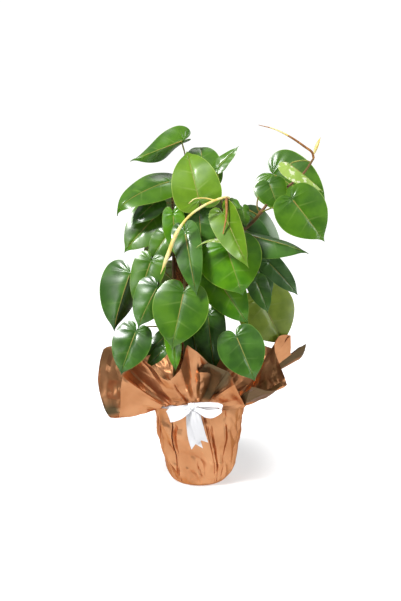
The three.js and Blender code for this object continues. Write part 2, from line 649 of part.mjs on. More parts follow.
function ribbonSolid() {
  const inner = PAPER.neckRadius + GAP + 0.6;
  const outer = inner + RIBBON.thickness;
  const high = PAPER.neckHeight - RIBBON.belowNeck;
  const low = high - RIBBON.band;
  const tilt = new THREE.Matrix4().makeShear(0, 0, 0, -PAPER.tieTilt / PAPER.neckRadius, 0, 0);
  const disc = turned([[0, low], [outer, low], [outer, high], [0, high]], 40, tilt);
  const hole = turned([[0, low - 1], [inner, low - 1], [inner, high + 1], [0, high + 1]], 40, tilt);
  const ball = new THREE.SphereGeometry(0.5, 10, 6).rotateX(Math.PI / 2).scale(...KNOT.size);
  const knot = solidOf(ball.translate(...KNOT.at));
  const half = RIBBON.width / 2;
  const leftLoop = strip([
    { at: [-1, -2, 0], half: [0, 1, 4] },
    { at: [-11, -8, -4], half: [-2, 2, 8] },
    { at: [-25, -10, -11], half: [-4, 2, 10] },
    { at: [-38, -6, -17], half: [-4, 2, 10] },
    { at: [-45, 2, -20], half: [-4, 2, 10] },
    { at: [-38, 9, -16], half: [-4, 2, 10] },
    { at: [-20, 6, -8], half: [-3, 2, 8] },
    { at: [-2, 1, -1], half: [0, 1, 4] },
  ]);
  const rightLoop = strip([
    { at: [1, -2, -4], half: [0, 1, 3] },
    { at: [12, -9, -5], half: [0, 2, 5] },
    { at: [25, -16, -9], half: [1, 3, 6.5] },
    { at: [38, -18, -9], half: [1, 4, 7] },
    { at: [50, -16, -5], half: [1, 5, 5] },
    { at: [56, -13, 0], half: [1, 6, 4] },
    { at: [50, -9, 4], half: [1, 6, 3] },
    { at: [37, -9, 6], half: [0, 6, 3] },
    { at: [20, -9, 6], half: [0, 5, 3] },
    { at: [2, -1, 4], half: [0, 1, 3] },
  ]);
  const tail = (points) => strip(points.map(([x, y, z]) => ({ at: [x, y, z], half: [half * 0.98, 0, 1.4] })));
  const leftTail = tail([[-1, -1, -3], [-1, -3, -17], [0, 0, -39], [3, 5, -63], [9, 8, -85]]);
  const rightTail = tail([[3, -2, -3], [5, -4, -17], [10, -2, -39], [15, 2, -59], [19, 5, -73]]);
  const notch = new THREE.Shape([[-7, -4], [7, -4], [0, 10]].map(([x, y]) => new THREE.Vector2(x, y)));
  const wedge = new THREE.ExtrudeGeometry(notch, { depth: 30, bevelEnabled: false }).rotateX(Math.PI / 2);
  const [x, y, z] = KNOT.at;
  const wedgeAt = (aside, below) => solidOf(wedge.clone().translate(x + aside, y + 20, z - below));
  const tails = leftTail.subtract(wedgeAt(9, 87)).add(rightTail.subtract(wedgeAt(19, 75)));
  return disc.subtract(hole).add(knot).add(leftLoop).add(rightLoop).add(tails);
}

// Soil fills the pot, with plain holes where the pole and the vines stand.
function soilSolid() {
  const side = potRadiusAt(SOIL.top) - POT.wall - GAP - 1;
  const bottom = POT.base + 2 + GAP;
  const low = POT.foot - POT.wall - 2.5;
  const heel = [POT.heel - POT.wall - 1.5, POT.heelHeight + 2];
  let soil = turned([[0, bottom], [low, bottom], heel, [side, SOIL.top], [0, SOIL.top + 2]], 28);
  const clear = SOIL.clearance;
  soil = soil.subtract(upright(POLE.stake + clear, POLE.bottom - 1, 200, 16, POLE.x, POLE.y));
  soil = soil.subtract(upright(POLE.coirOuter + clear, POLE.coirBottom - 1, 200, 20, POLE.x, POLE.y));
  for (const curve of Object.values(VINES)) {
    const foot = curve.getPoint(0);
    soil = soil.subtract(upright(VINE.radius + clear, VINE.buried - 1, 200, 10, foot.x, foot.y));
  }
  return soil;
}

function stakeSolid() {
  const tip = POLE.bottom;
  const profile = [[0, tip], [POLE.stake, tip + 22], [POLE.stake, POLE.top], [0, POLE.top]];
  return turned(profile, 12, new THREE.Matrix4().makeTranslation(POLE.x, POLE.y, 0));
}

function coirSolid() {
  const { coirInner, coirOuter, coirBottom, top } = POLE;
  const tube = upright(coirOuter, coirBottom, top - 6, 20, POLE.x, POLE.y);
  return tube.subtract(upright(coirInner, coirBottom - 1, top, 20, POLE.x, POLE.y));
}

addPiece("paper_wrap", paperSolid(), MATERIALS.paper);
addPiece("ribbon", ribbonSolid(), MATERIALS.ribbon);
addPiece("nursery_pot", nurseryPot(), MATERIALS.pot);
addPiece("soil", soilSolid(), MATERIALS.soil);
addPiece("pole_stake", stakeSolid(), MATERIALS.stake);
addPiece("coir_sleeve", coirSolid(), MATERIALS.coir);
for (const [name, vine] of Object.entries(VINES)) addPiece("vine_" + name, vineSolid(vine), MATERIALS.stem);
addPiece("shoot_front", frontShoot(), MATERIALS.newShoot);
addPiece("shoot_side", sideShoot(), MATERIALS.brownShoot);
const YOUNG = [3, 8, 14, 15, 26];
LEAVES.forEach((entry, i) => {
  const leaf = { ...LEAF_DEFAULTS, ...entry };
  const name = "leaf_" + String(i + 1).padStart(2, "0");
  addPiece(name, leafSolid(leaf), YOUNG.includes(i + 1) ? MATERIALS.youngLeaf : MATERIALS.leaf);
});

export default group;
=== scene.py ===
# Looks for the potted heartleaf philodendron in its copper paper wrap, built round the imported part.
# Blender works in metres; every table and size below is in millimetres, in the part's own frame:
# +Z up, the front towards -Y and the origin at the centre of the wrapped pot's base.
import math

import bpy
import numpy as np
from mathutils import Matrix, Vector, noise


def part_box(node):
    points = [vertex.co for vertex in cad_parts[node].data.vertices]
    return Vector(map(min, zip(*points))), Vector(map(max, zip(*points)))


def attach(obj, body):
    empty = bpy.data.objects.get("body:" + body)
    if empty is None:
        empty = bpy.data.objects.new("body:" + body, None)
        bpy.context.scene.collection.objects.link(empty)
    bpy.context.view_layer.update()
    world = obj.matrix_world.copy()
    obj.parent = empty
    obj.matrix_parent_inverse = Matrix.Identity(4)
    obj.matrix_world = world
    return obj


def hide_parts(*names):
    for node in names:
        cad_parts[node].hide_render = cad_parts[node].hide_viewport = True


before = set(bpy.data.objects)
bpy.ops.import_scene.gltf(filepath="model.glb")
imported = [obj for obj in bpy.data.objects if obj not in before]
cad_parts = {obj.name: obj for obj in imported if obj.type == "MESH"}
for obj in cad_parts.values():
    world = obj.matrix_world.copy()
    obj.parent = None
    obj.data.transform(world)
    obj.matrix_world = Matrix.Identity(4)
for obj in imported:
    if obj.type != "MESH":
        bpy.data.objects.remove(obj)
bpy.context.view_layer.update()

MM = 0.001
UP = np.array([0.0, 0.0, 1.0])

# Driving dimensions, as in the part's source
POLE = {"x": -24, "y": 8, "coir": 22, "top": 496, "bottom": 100}
VINE = {"radius": 3.0, "buried": 66, "root_ring": 36, "gap": 0.6, "above_soil": 8}
CLIMB = {"through": (92, 118), "swing": 162, "swing_out": 4, "start": 188, "shares": (0.3, 0.6, 0.94, 1)}
SOIL_TOP = 128
BLADE = {"thickness": 0.6, "rear_lobe": 0.17, "half_width": 0.48, "vein_start": 0.14, "vein_sweep": 1.25}
PETIOLE_RADIUS = 1.5
PAPER = {"thickness": 0.3, "neck_radius": 86, "neck_height": 160, "tie_low": 148, "tie_tilt": 14}
RIBBON = {"thickness": 0.4, "width": 22, "band": 8, "below_neck": 4.5}
KNOT = np.array([-13.0, -93.0, 171.0])

# What counts as no length, as the shortest span of a curve, and as a steep direction
NO_LENGTH, SHORTEST_SPAN, STEEP = 1e-9, 0.01, 0.9
# Points that agree to this many digits of a millimetre are one point
JOIN_DIGITS = 3


# Small geometry helpers, all on numpy arrays of points in millimetres
def unit(vectors):
    return vectors / np.maximum(np.linalg.norm(vectors, axis=-1, keepdims=True), NO_LENGTH)


def smooth(low, high, value):
    """0 below low, 1 above high and an even S between them."""
    t = np.clip((value - low) / (high - low), 0, 1)
    return t * t * (3 - 2 * t)


def circle(count):
    """The angles of count points spaced evenly round a circle."""
    return 2 * math.pi * np.arange(count) / count


def curve_through(points, per_span, closed=False):
    """A centripetal curve through points, sampled per_span times from each point to the next."""
    points = np.asarray(points, float)
    count = len(points)
    if closed:
        ring = np.concatenate([points[-1:], points, points[:2]])
        spans = count
    else:
        first, last = 2 * points[0] - points[1], 2 * points[-1] - points[-2]
        ring = np.concatenate([[first], points, [last]])
        spans = count - 1
    out = []
    for i in range(spans):
        p0, p1, p2, p3 = ring[i : i + 4]
        lengths = [np.linalg.norm(b - a) for a, b in ((p0, p1), (p1, p2), (p2, p3))]
        d0, d1, d2 = (max(SHORTEST_SPAN, length) ** 0.5 for length in lengths)
        leave = ((p1 - p0) / d0 - (p2 - p0) / (d0 + d1) + (p2 - p1) / d1) * d1
        arrive = ((p2 - p1) / d1 - (p3 - p1) / (d1 + d2) + (p3 - p2) / d2) * d1
        square, cube = 3 * (p2 - p1) - 2 * leave - arrive, 2 * (p1 - p2) + leave + arrive
        t = (np.arange(per_span) / per_span)[:, None]
        out.append(p1 + leave * t + square * t**2 + cube * t**3)
    if not closed:
        out.append(points[-1:])
    return np.concatenate(out)


def spread_evenly(path, count):
    """count points along a path, equally far apart."""
    steps = np.linalg.norm(np.diff(path, axis=0), axis=1)
    along = np.concatenate([[0], np.cumsum(steps)])
    wanted = np.linspace(0, along[-1], count)
    return np.stack([np.interp(wanted, along, path[:, k]) for k in range(path.shape[1])], axis=1)


def bezier(a, b, c, d, count):
    t = np.linspace(0, 1, count)[:, None]
    return a * (1 - t) ** 3 + 3 * b * t * (1 - t) ** 2 + 3 * c * t**2 * (1 - t) + d * t**3


class Shape:
    """Gathers points and faces in millimetres, then makes one Blender object of them."""

    def __init__(self):
        self.points, self.faces, self.slots, self.maps, self.marks = [], [], [], [], []
        self.count = 0

    def add(self, points, faces, slot=0, places=None, mark=None):
        """places gives each point its pair of surface coordinates, and mark a share, for the materials."""
        points = np.asarray(points, float).reshape(-1, 3)
        places = np.zeros((len(points), 2)) if places is None else np.asarray(places, float).reshape(-1, 2)
        mark = np.zeros(len(points)) if mark is None else np.asarray(mark, float).ravel()
        self.points.append(points)
        self.maps.append(places)
        self.marks.append(mark)
        self.faces.extend([tuple(int(k) + self.count for k in f) for f in faces])
        self.slots.extend([slot] * len(faces))
        self.count += len(points)

    def add_grid(self, grid, slot=0, places=None, closed=(False, False), flip=False, mark=None):
        """A sheet of quads over grid[i, j]; closed joins its last row or column to its first."""
        rows, columns = grid.shape[:2]
        faces = []
        for i in range(rows if closed[0] else rows - 1):
            for j in range(columns if closed[1] else columns - 1):
                a, b = i * columns + j, i * columns + (j + 1) % columns
                c, d = (i + 1) % rows * columns + (j + 1) % columns, (i + 1) % rows * columns + j
                faces.append((a, d, c, b) if flip else (a, b, c, d))
        self.add(grid, faces, slot, places, mark)

    def add_tube(self, path, radii, sides=8, slot=0, ripple=None):
        """A round bar along path with closed ends; ripple scales the radius at [ring, side]."""
        path = np.asarray(path, float)
        tangents = unit(np.gradient(path, axis=0))
        aside = unit(np.cross(tangents[0], UP if abs(tangents[0][2]) < STEEP else np.array([1.0, 0, 0])))
        turns = circle(sides)
        rings = []
        for i, tangent in enumerate(tangents):
            aside = unit(aside - tangent * (aside @ tangent))
            across = np.cross(tangent, aside)
            spokes = np.cos(turns)[:, None] * aside + np.sin(turns)[:, None] * across
            scale = radii[i] if ripple is None else (radii[i] * ripple[i])[:, None]
            rings.append(path[i] + spokes * scale)
        first, last = len(path) * sides, len(path) * sides + 1
        faces = []
        for i in range(len(path) - 1):
            for k in range(sides):
                n = (k + 1) % sides
                faces.append((i * sides + k, i * sides + n, (i + 1) * sides + n, (i + 1) * sides + k))
        end = (len(path) - 1) * sides
        for k in range(sides):
            n = (k + 1) % sides
            faces.append((first, n, k))
            faces.append((last, end + k, end + n))
        along = np.repeat(np.linspace(0, 1, len(path)), sides)
        places = np.stack([np.tile(turns / (2 * math.pi), len(path)), along], axis=1)
        places = np.concatenate([places, [[0, 0], [0, 1]]])
        self.add(np.concatenate([np.concatenate(rings), path[:1], path[-1:]]), faces, slot, places)

    def make(self, name, materials, sharp=50):
        """Joins points that coincide, drops faces that vanish and returns the object, fixed to the part."""
        points, places, marks = (np.concatenate(a) for a in (self.points, self.maps, self.marks))
        rounded = np.round(points, JOIN_DIGITS)
        _, first, joined = np.unique(rounded, axis=0, return_index=True, return_inverse=True)
        joined = joined.ravel()
        faces, slots, corners = [], [], []
        for face, slot in zip(self.faces, self.slots):
            kept = [k for n, k in enumerate(face) if joined[k] != joined[face[n - 1]]]
            if len({joined[k] for k in kept}) > 2:
                faces.append([int(joined[k]) for k in kept])
                slots.append(slot)
                corners.extend(kept)
        mesh = bpy.data.meshes.new(name)
        mesh.from_pydata((points[first] * MM).tolist(), [], faces)
        mesh.uv_layers.new(name="Surface")
        mesh.uv_layers["Surface"].data.foreach_set("uv", places[corners].astype(np.float32).ravel())
        mesh.polygons.foreach_set("material_index", np.array(slots, np.int32))
        mesh.polygons.foreach_set("use_smooth", np.ones(len(faces), bool))
        # Each point's share of the olive bronze painted on the copper, as painted reflection and painted
        # shade
        if marks.any():
            layer = mesh.attributes.new("painted_olive_reflection", "FLOAT", "POINT")
            layer.data.foreach_set("value", marks[first].astype(np.float32))
        for material in materials:
            mesh.materials.append(material)
        mesh.update()
        if sharp:
            mesh.set_sharp_from_angle(angle=math.radians(sharp))
        made = bpy.data.objects.new(name, mesh)
        bpy.context.scene.collection.objects.link(made)
        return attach(made, "root")


# Materials
def colour(code):
    """An sRGB hex colour as Blender's linear colour."""
    parts = [int(code[i : i + 2], 16) / 255 for i in (1, 3, 5)]
    return (*[c / 12.92 if c <= 0.04045 else ((c + 0.055) / 1.055) ** 2.4 for c in parts], 1.0)


def add(tree, kind, settings=None, inputs=None):
    """Adds a node with its settings. An input is a plain value, an output, or a node's first live output."""
    made = tree.nodes.new(kind)
    for key, value in (settings or {}).items():
        setattr(made, key, value)
    for key, value in (inputs or {}).items():
        if isinstance(value, bpy.types.Node):
            value = next(output for output in value.outputs if output.enabled)
        if isinstance(value, bpy.types.NodeSocket):
            tree.links.new(value, made.inputs[key])
        else:
            made.inputs[key].default_value = value
    return made


def new_material(name):
    material = bpy.data.materials.new(name)
    material.use_nodes = True
    material.node_tree.nodes.clear()
    return material, material.node_tree


# The kinds and settings that most of the materials share
NOISE, MIX, RANGE = "ShaderNodeTexNoise", "ShaderNodeMix", "ShaderNodeMapRange"
MATH, VECTOR, SPLIT = "ShaderNodeMath", "ShaderNodeVectorMath", "ShaderNodeSeparateXYZ"
PLACE, RAY, STRETCH = "ShaderNodeTexCoord", "ShaderNodeLightPath", "ShaderNodeMapping"
BUMP, SKIN, OUTPUT = "ShaderNodeBump", "ShaderNodeBsdfPrincipled", "ShaderNodeOutputMaterial"
COLOURS, EASED = {"data_type": "RGBA"}, {"interpolation_type": "SMOOTHSTEP"}
# The sockets of a colour mix: how far it goes, the colour it starts from and the colour it ends in
BY, START, END = 0, 6, 7
# How many millimetres one cloud, blotch, streak or thread of each pattern is wide
LEAF_CLOUD, LEAF_BLOTCH, LEAF_PORE = 34, 9, 1.6
BARK_STREAK, BARK_PIT = 24, 1.2
FOIL_CLOUD, FOIL_CREASE = 60, 26
SATIN_THREAD, POT_SCUFF = 0.6, 4
PEAT_GRAIN, COIR_GRAIN = 5, 2.5
# How many millimetres deep each relief is
PORE_DEPTH, PIT_DEPTH, CREASE_DEPTH, THREAD_DEPTH, GRAIN_DEPTH, SCUFF_DEPTH = 0.5, 0.4, 4.5, 0.2, 2, 0.5


def scale_of(width):
    """The noise scale whose clouds are about width millimetres wide."""
    return 1 / (width * MM)


def leaf_material(name, base, deep, vein, light, roughness, glow, cream=0.0):
    """Living leaf, grown with a waxy skin: wet gloss, green flesh, a paler midrib, a pale rim that is painted
    highlight along its edge, and light through it.

    The surface coordinates count side veins in X and run from midrib to rim in Y."""
    material, tree = new_material(name)
    place = add(tree, PLACE).outputs["Object"]
    parts = add(tree, SPLIT, None, {"Vector": add(tree, "ShaderNodeUVMap", {"uv_map": "Surface"})})
    phase, reach = parts.outputs["X"], parts.outputs["Y"]
    cloud = add(tree, NOISE, None, {"Vector": place, "Scale": scale_of(LEAF_CLOUD), "Detail": 3.0})
    share = add(tree, RANGE, EASED, {"Value": cloud.outputs["Fac"], "From Min": 0.32, "From Max": 0.66})
    flesh = add(tree, MIX, COLOURS, {BY: share, START: colour(deep), END: colour(base)})
    within = add(tree, MATH, {"operation": "FRACT"}, {0: phase})
    offset = add(tree, MATH, {"operation": "SUBTRACT"}, {0: within, 1: 0.5})
    away = add(tree, MATH, {"operation": "ABSOLUTE"}, {0: offset})
    side = add(tree, RANGE, EASED, {"Value": away, "From Min": 0.42, "From Max": 0.5, "To Max": 0.16})
    fading = add(tree, RANGE, EASED, {"Value": reach, "From Min": 0.9, "From Max": 0.15})
    veined = add(tree, MATH, {"operation": "MULTIPLY"}, {0: side, 1: fading})
    flesh = add(tree, MIX, COLOURS, {BY: veined, START: flesh, END: colour(vein)})
    midrib = add(tree, RANGE, EASED, {"Value": reach, "From Min": 0.032, "From Max": 0.005, "To Max": 0.22})
    flesh = add(tree, MIX, COLOURS, {BY: midrib, START: flesh, END: colour(vein)})
    # The pale rim is painted highlight along the leaf's edge
    rim = add(tree, RANGE, EASED, {"Value": reach, "From Min": 0.965, "From Max": 0.995, "To Max": 0.6})
    flesh = add(tree, MIX, COLOURS, {BY: rim, START: flesh, END: colour(light)})
    if cream:
        blotch = add(tree, NOISE, None, {"Vector": place, "Scale": scale_of(LEAF_BLOTCH), "Detail": 2.0})
        patch = {"Value": blotch.outputs["Fac"], "From Min": 0.54, "From Max": 0.62, "To Max": cream}
        creamy = add(tree, RANGE, EASED, patch)
        flesh = add(tree, MIX, COLOURS, {BY: creamy, START: flesh, END: colour("#edf2cf")})
    pores = {"Vector": place, "Scale": scale_of(LEAF_PORE), "Detail": 2.0}
    pores = add(tree, NOISE, None, pores).outputs["Fac"]
    bump = add(tree, BUMP, None, {"Height": pores, "Strength": 0.1, "Distance": PORE_DEPTH * MM})
    skin = {"Base Color": flesh, "Roughness": roughness, "IOR": 1.45, "Normal": bump}
    skin |= {"Coat Weight": 0.4, "Coat Roughness": 0.2}
    through = add(tree, "ShaderNodeBsdfTranslucent", None, {"Color": flesh, "Normal": bump})
    mixed = add(tree, "ShaderNodeMixShader", None, {0: glow, 1: add(tree, SKIN, None, skin), 2: through})
    add(tree, OUTPUT, None, {"Surface": mixed})
    return material


def stem_material(name, base, other, roughness=0.45):
    """Living or dried stem, grown: smooth bark whose long streaks and fine pits catch the light."""
    material, tree = new_material(name)
    place = add(tree, PLACE).outputs["Object"]
    longer = add(tree, STRETCH, None, {"Vector": place, "Scale": (2.5, 2.5, 0.6)})
    streaks = add(tree, NOISE, None, {"Vector": longer, "Scale": scale_of(BARK_STREAK), "Detail": 3.0})
    share = add(tree, RANGE, EASED, {"Value": streaks.outputs["Fac"], "From Min": 0.35, "From Max": 0.65})
    tint = add(tree, MIX, COLOURS, {BY: share, START: colour(base), END: colour(other)})
    pits = add(tree, NOISE, None, {"Vector": place, "Scale": scale_of(BARK_PIT)}).outputs["Fac"]
    bump = add(tree, BUMP, None, {"Height": pits, "Strength": 0.2, "Distance": PIT_DEPTH * MM})
    bark = add(tree, SKIN, None, {"Base Color": tint, "Roughness": roughness, "IOR": 1.45, "Normal": bump})
    add(tree, OUTPUT, None, {"Surface": bark})
    return material


def foil_material():
    """Copper foil on kraft, calendered and then crushed by hand: metal glare that breaks up at sharp creases.

    Where the sheet is marked, a duller olive bronze is painted in: painted reflection of the green leaves and
    painted shade in the deep folds."""
    material, tree = new_material("copper_foil_paper_calendered")
    place = add(tree, PLACE).outputs["Object"]
    cloud = add(tree, NOISE, None, {"Vector": place, "Scale": scale_of(FOIL_CLOUD), "Detail": 3.0})
    share = add(tree, RANGE, EASED, {"Value": cloud.outputs["Fac"], "From Min": 0.3, "From Max": 0.7})
    tint = add(tree, MIX, COLOURS, {BY: share, START: colour("#bd8258"), END: colour("#d39a6e")})
    # The olive bronze painted where the sheet is marked: painted reflection of the leaves and painted shade
    # in the folds
    painted_olive = add(tree, "ShaderNodeAttribute", {"attribute_name": "painted_olive_reflection"}).outputs["Fac"]
    tint = add(tree, MIX, COLOURS, {BY: painted_olive, START: tint, END: colour("#5e5139")})
    ridged = {"noise_type": "RIDGED_MULTIFRACTAL", "normalize": True}
    creases = {"Vector": place, "Scale": scale_of(FOIL_CREASE), "Detail": 2.0}
    creases |= {"Roughness": 0.45, "Distortion": 0.4}
    ridges = add(tree, NOISE, ridged, creases).outputs["Fac"]
    bump = add(tree, BUMP, None, {"Height": ridges, "Strength": 0.62, "Distance": CREASE_DEPTH * MM})
    metal = add(tree, RANGE, None, {"Value": painted_olive, "To Min": 0.82, "To Max": 0.5})
    foil = {"Base Color": tint, "Metallic": metal, "Roughness": 0.28, "Normal": bump}
    foil |= {"Specular Tint": colour("#d8a17c")}
    add(tree, OUTPUT, None, {"Surface": add(tree, SKIN, None, foil)})
    return material


def satin_material():
    """Double-faced polyester satin, woven: white threads that lie along the ribbon and shine in soft bands.

    The threads are drawn over half a millimetre apart, coarser than the real ones, so that they show."""
    material, tree = new_material("white_satin_ribbon_woven")
    place = add(tree, PLACE).outputs["Object"]
    threads = add(tree, NOISE, None, {"Vector": place, "Scale": scale_of(SATIN_THREAD), "Detail": 1.0})
    relief = {"Height": threads.outputs["Fac"], "Strength": 0.15, "Distance": THREAD_DEPTH * MM}
    bump = add(tree, BUMP, None, relief)
    cloth = {"Base Color": colour("#eff0f3"), "Roughness": 0.4, "IOR": 1.5, "Normal": bump}
    cloth |= {"Sheen Weight": 0.3, "Sheen Roughness": 0.3}
    add(tree, OUTPUT, None, {"Surface": add(tree, SKIN, None, cloth)})
    return material


def crumb_material(name, dark, light, grain):
    """A rough natural filling, loose or pressed: grains of two tones with deep shade between them."""
    material, tree = new_material(name)
    place = add(tree, PLACE).outputs["Object"]
    grains = add(tree, NOISE, None, {"Vector": place, "Scale": scale_of(grain), "Detail": 4.0}).outputs["Fac"]
    share = add(tree, RANGE, EASED, {"Value": grains, "From Min": 0.35, "From Max": 0.65})
    tint = add(tree, MIX, COLOURS, {BY: share, START: colour(dark), END: colour(light)})
    bump = add(tree, BUMP, None, {"Height": grains, "Strength": 0.8, "Distance": GRAIN_DEPTH * MM})
    filling = add(tree, SKIN, None, {"Base Color": tint, "Roughness": 0.95, "Normal": bump})
    add(tree, OUTPUT, None, {"Surface": filling})
    return material


def plastic_material():
    """Polypropylene, moulded: dark and slightly waxy, with fine upright scuffs."""
    material, tree = new_material("nursery_pot_polypropylene_moulded")
    place = add(tree, PLACE).outputs["Object"]
    upright = add(tree, STRETCH, None, {"Vector": place, "Scale": (1, 1, 0.2)})
    scuffs = add(tree, NOISE, None, {"Vector": upright, "Scale": scale_of(POT_SCUFF), "Detail": 3.0})
    relief = {"Height": scuffs.outputs["Fac"], "Strength": 0.15, "Distance": SCUFF_DEPTH * MM}
    share = add(tree, RANGE, EASED, {"Value": scuffs.outputs["Fac"], "From Min": 0.4, "From Max": 0.75})
    tint = add(tree, MIX, COLOURS, {BY: share, START: colour("#262625"), END: colour("#3a3937")})
    plastic = {"Base Color": tint, "Roughness": 0.5, "IOR": 1.49, "Normal": add(tree, BUMP, None, relief)}
    add(tree, OUTPUT, None, {"Surface": add(tree, SKIN, None, plastic)})
    return material


# Each finish of leaf: its material's name, its lit flesh, shaded flesh, veins, and the pale rim that is
# painted edge highlight, its roughness, the share of light that comes through, and how creamy its blotches
# are
LEAF_LOOKS = {
    "mature": ("mature_leaf_waxy", "#518015", "#38650d", "#a9c468", "#9cc04a", 0.32, 0.2),
    # Darker leaves; on those that lie in the plant's shade, this darkness is painted shade
    "deep": ("dark_and_shaded_leaf_waxy", "#467422", "#2c5412", "#86a35c", "#7fa848", 0.3, 0.12),
    # A blue-grey tint painted in as the white sky reflected on these leaves: painted reflection
    "sky_reflecting": ("sky_reflection_painted_leaf_waxy", "#4c7339", "#39602c", "#8ba77c", "#7fa266", 0.3, 0.12),
    "bright": ("bright_leaf_waxy", "#5f9a10", "#437c0b", "#b9d674", "#b4d458", 0.3, 0.26),
    "olive": ("olive_leaf_waxy", "#93a93a", "#7b9229", "#b5c07c", "#b4bf62", 0.34, 0.2),
    "fresh": ("fresh_leaf_soft", "#759f20", "#5f8a18", "#cfe28c", "#cbe070", 0.38, 0.3),
    "pale": ("unfolding_leaf_soft", "#aecb62", "#8fb343", "#e6eec0", "#dbe89c", 0.42, 0.32, 0.85),
}
LEAF_FINISHES = {finish: leaf_material(*look) for finish, look in LEAF_LOOKS.items()}
UNDERSIDE = leaf_material("leaf_underside_matt", "#83a04c", "#6d8c3a", "#b8c98c", "#a9c062", 0.55, 0.22)
PETIOLE = stem_material("petiole_living", "#7c8c38", "#93803c")
VINE_BARK = stem_material("vine_bark_living", "#6d5c2e", "#7d5638")
NEW_SHOOT = stem_material("rolled_new_leaf_waxy", "#dcc062", "#e9dc9a", 0.4)
BROWN_SHOOT = stem_material("drying_sheath_papery", "#b07a3c", "#7f5029", 0.6)
FOIL = foil_material()
SATIN = satin_material()
PEAT = crumb_material("potting_peat_loose", "#1d140d", "#4a3524", PEAT_GRAIN)
COIR = crumb_material("coir_fibre_pressed", "#5a2f14", "#b06a30", COIR_GRAIN)
BAMBOO = stem_material("bamboo_stake_dried", "#b98f5e", "#8f6a3e", 0.6)
PLASTIC = plastic_material()

# How finely a vine is measured and drawn, and how it thins towards its end and swells at each node
VINE_SPAN, VINE_POINTS, VINE_RINGS, VINE_SIDES = 24, 400, 120, 12
TAPER_FROM, TAPER_BY = 0.75, 0.35
NODE_SWELLING, NODE_HALF_LENGTH = 0.22, 2.6


# Vines
def climbing(angle, leave_height, beyond):
    """A vine that is rooted round the pole, climbs against its coir and leaves it near the top."""
    turn = math.radians(angle)
    close = POLE["coir"] + VINE["radius"] + VINE["gap"]
    start = CLIMB["start"]

    def at(radius, z):
        return (POLE["x"] + radius * math.cos(turn), POLE["y"] + radius * math.sin(turn), z)

    rooted = (VINE["buried"], *CLIMB["through"], SOIL_TOP + VINE["above_soil"])
    points = [at(VINE["root_ring"], z) for z in rooted]
    points += [at(close + CLIMB["swing_out"], CLIMB["swing"]), at(close, start)]
    points += [at(close, start + (leave_height - start) * share) for share in CLIMB["shares"]]
    return spread_evenly(curve_through(points + list(beyond), VINE_SPAN), VINE_POINTS)


TO_THE_NODE = [(26, -8, 432), (67, -20, 478), (102, -30, 512), (118, -38, 534)]
PAST_THE_NODE = [(136, -36, 556), (168, -36, 580), (192, -42, 602), (210, -45, 630)]
VINES = {
    "front": climbing(262, 490, [(-24, -23, 530), (-20, -28, 566)]),
    "front_right": climbing(310, 440, [(18, -30, 496), (42, -60, 536), (54, -88, 563)]),
    "right": climbing(352, 380, TO_THE_NODE + PAST_THE_NODE),
    "left": climbing(196, 490, [(-50, -2, 530), (-50, -4, 566)]),
    "back_left": climbing(132, 480, [(-40, 36, 520), (-38, 44, 552)]),
    "back_right": climbing(48, 470, [(2, 38, 520), (14, 46, 552)]),
}


def vine_radius(share):
    return VINE["radius"] * (1 - TAPER_BY * np.clip((share - TAPER_FROM) / (1 - TAPER_FROM), 0, 1))


def vine_at(name, height):
    """The vine's centre, direction and radius where it passes a height."""
    path = VINES[name]
    share = np.interp(height, path[:, 2], np.linspace(0, 1, len(path)))
    place = share * (len(path) - 1)
    i = min(int(place), len(path) - 2)
    centre = path[i] + (path[i + 1] - path[i]) * (place - i)
    return centre, unit(path[i + 1] - path[i]), float(vine_radius(share))


def make_vine(name, joints):
    """A vine with a swollen ring where each petiole leaves it."""
    rings = spread_evenly(VINES[name], VINE_RINGS)
    radii = vine_radius(np.linspace(0, 1, VINE_RINGS))
    for height in joints:
        radii = radii * (1 + NODE_SWELLING * np.exp(-(((rings[:, 2] - height) / NODE_HALF_LENGTH) ** 2)))
    shape = Shape()
    shape.add_tube(rings, radii, VINE_SIDES)
    piece = shape.make(f"vine_{name}_bark", [VINE_BARK])
    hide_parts(f"vine_{name}")


# Leaves: a heart one long from petiole joint to tip, given by half of its outline from notch to tip
LOBE = BLADE["rear_lobe"]
HALF_OUTLINE = [
    ((0, 0), (-0.06, 0.01), (-LOBE, 0.05), (-LOBE, 0.18), 9),
    ((-LOBE, 0.18), (-LOBE, 0.36), (-0.06, 0.48), (0.14, 0.48), 14),
    ((0.14, 0.48), (0.45, 0.48), (0.71, 0.31), (0.86, 0.1), 17),
    ((0.86, 0.1), (0.91, 0.04), (0.95, 0.015), (1, 0), 8),
]
# How far out from the midrib each ring of points lies, and how many side veins each half has
REACHES = np.array([0, 0.035, 0.1, 0.2, 0.33, 0.47, 0.61, 0.75, 0.87, 0.96, 1])
VEINS = 8
# Where along the midrib its tip begins to droop, and how many waves the rim has and where they start
DROOP_FROM, WAVES, WAVE_START = 0.6, 9, 4
# The least turn of a curled blade, so that a flat one has a radius too
LEAST_TURN = 1e-6
# A petiole leaves its vine and meets its blade in shares of its reach, and ends in millimetres past the joint
STALK = {"inside": 0.3, "out": 0.35, "rise": 0.1, "back": 0.22, "below": 0.28, "past": 5, "sunk": 0.9}
STALK_RINGS = 18
# The knee where a petiole meets its blade: where it is, as a share of the way, its spread and its swelling
KNEE = {"at": 0.86, "wide": 0.09, "swelling": 0.25}
# The midrib under a blade: from where to where it runs, its radius, how it thins, and how deep it lies
MIDRIB = {"from": 0.1, "to": 0.93, "points": 14, "radius": 1.15, "thins": 0.85, "deep": 0.45}
STALK_SIDES = 8
# The flesh between the veins: how soon it rises, how it fades to the rim, and its pinch along the midrib, on
# a leaf of the usual length
FLESH = {"rise": 0.25, "fade": 0.6, "pinch_width": 0.07, "pinch": 0.9, "usual_length": 110}


def outline():
    spans = [bezier(*(np.array(p, float) for p in span[:4]), span[4] + 1)[1:] for span in HALF_OUTLINE]
    return np.concatenate([[[0.0, 0.0]], *spans])


OUTLINE = outline()


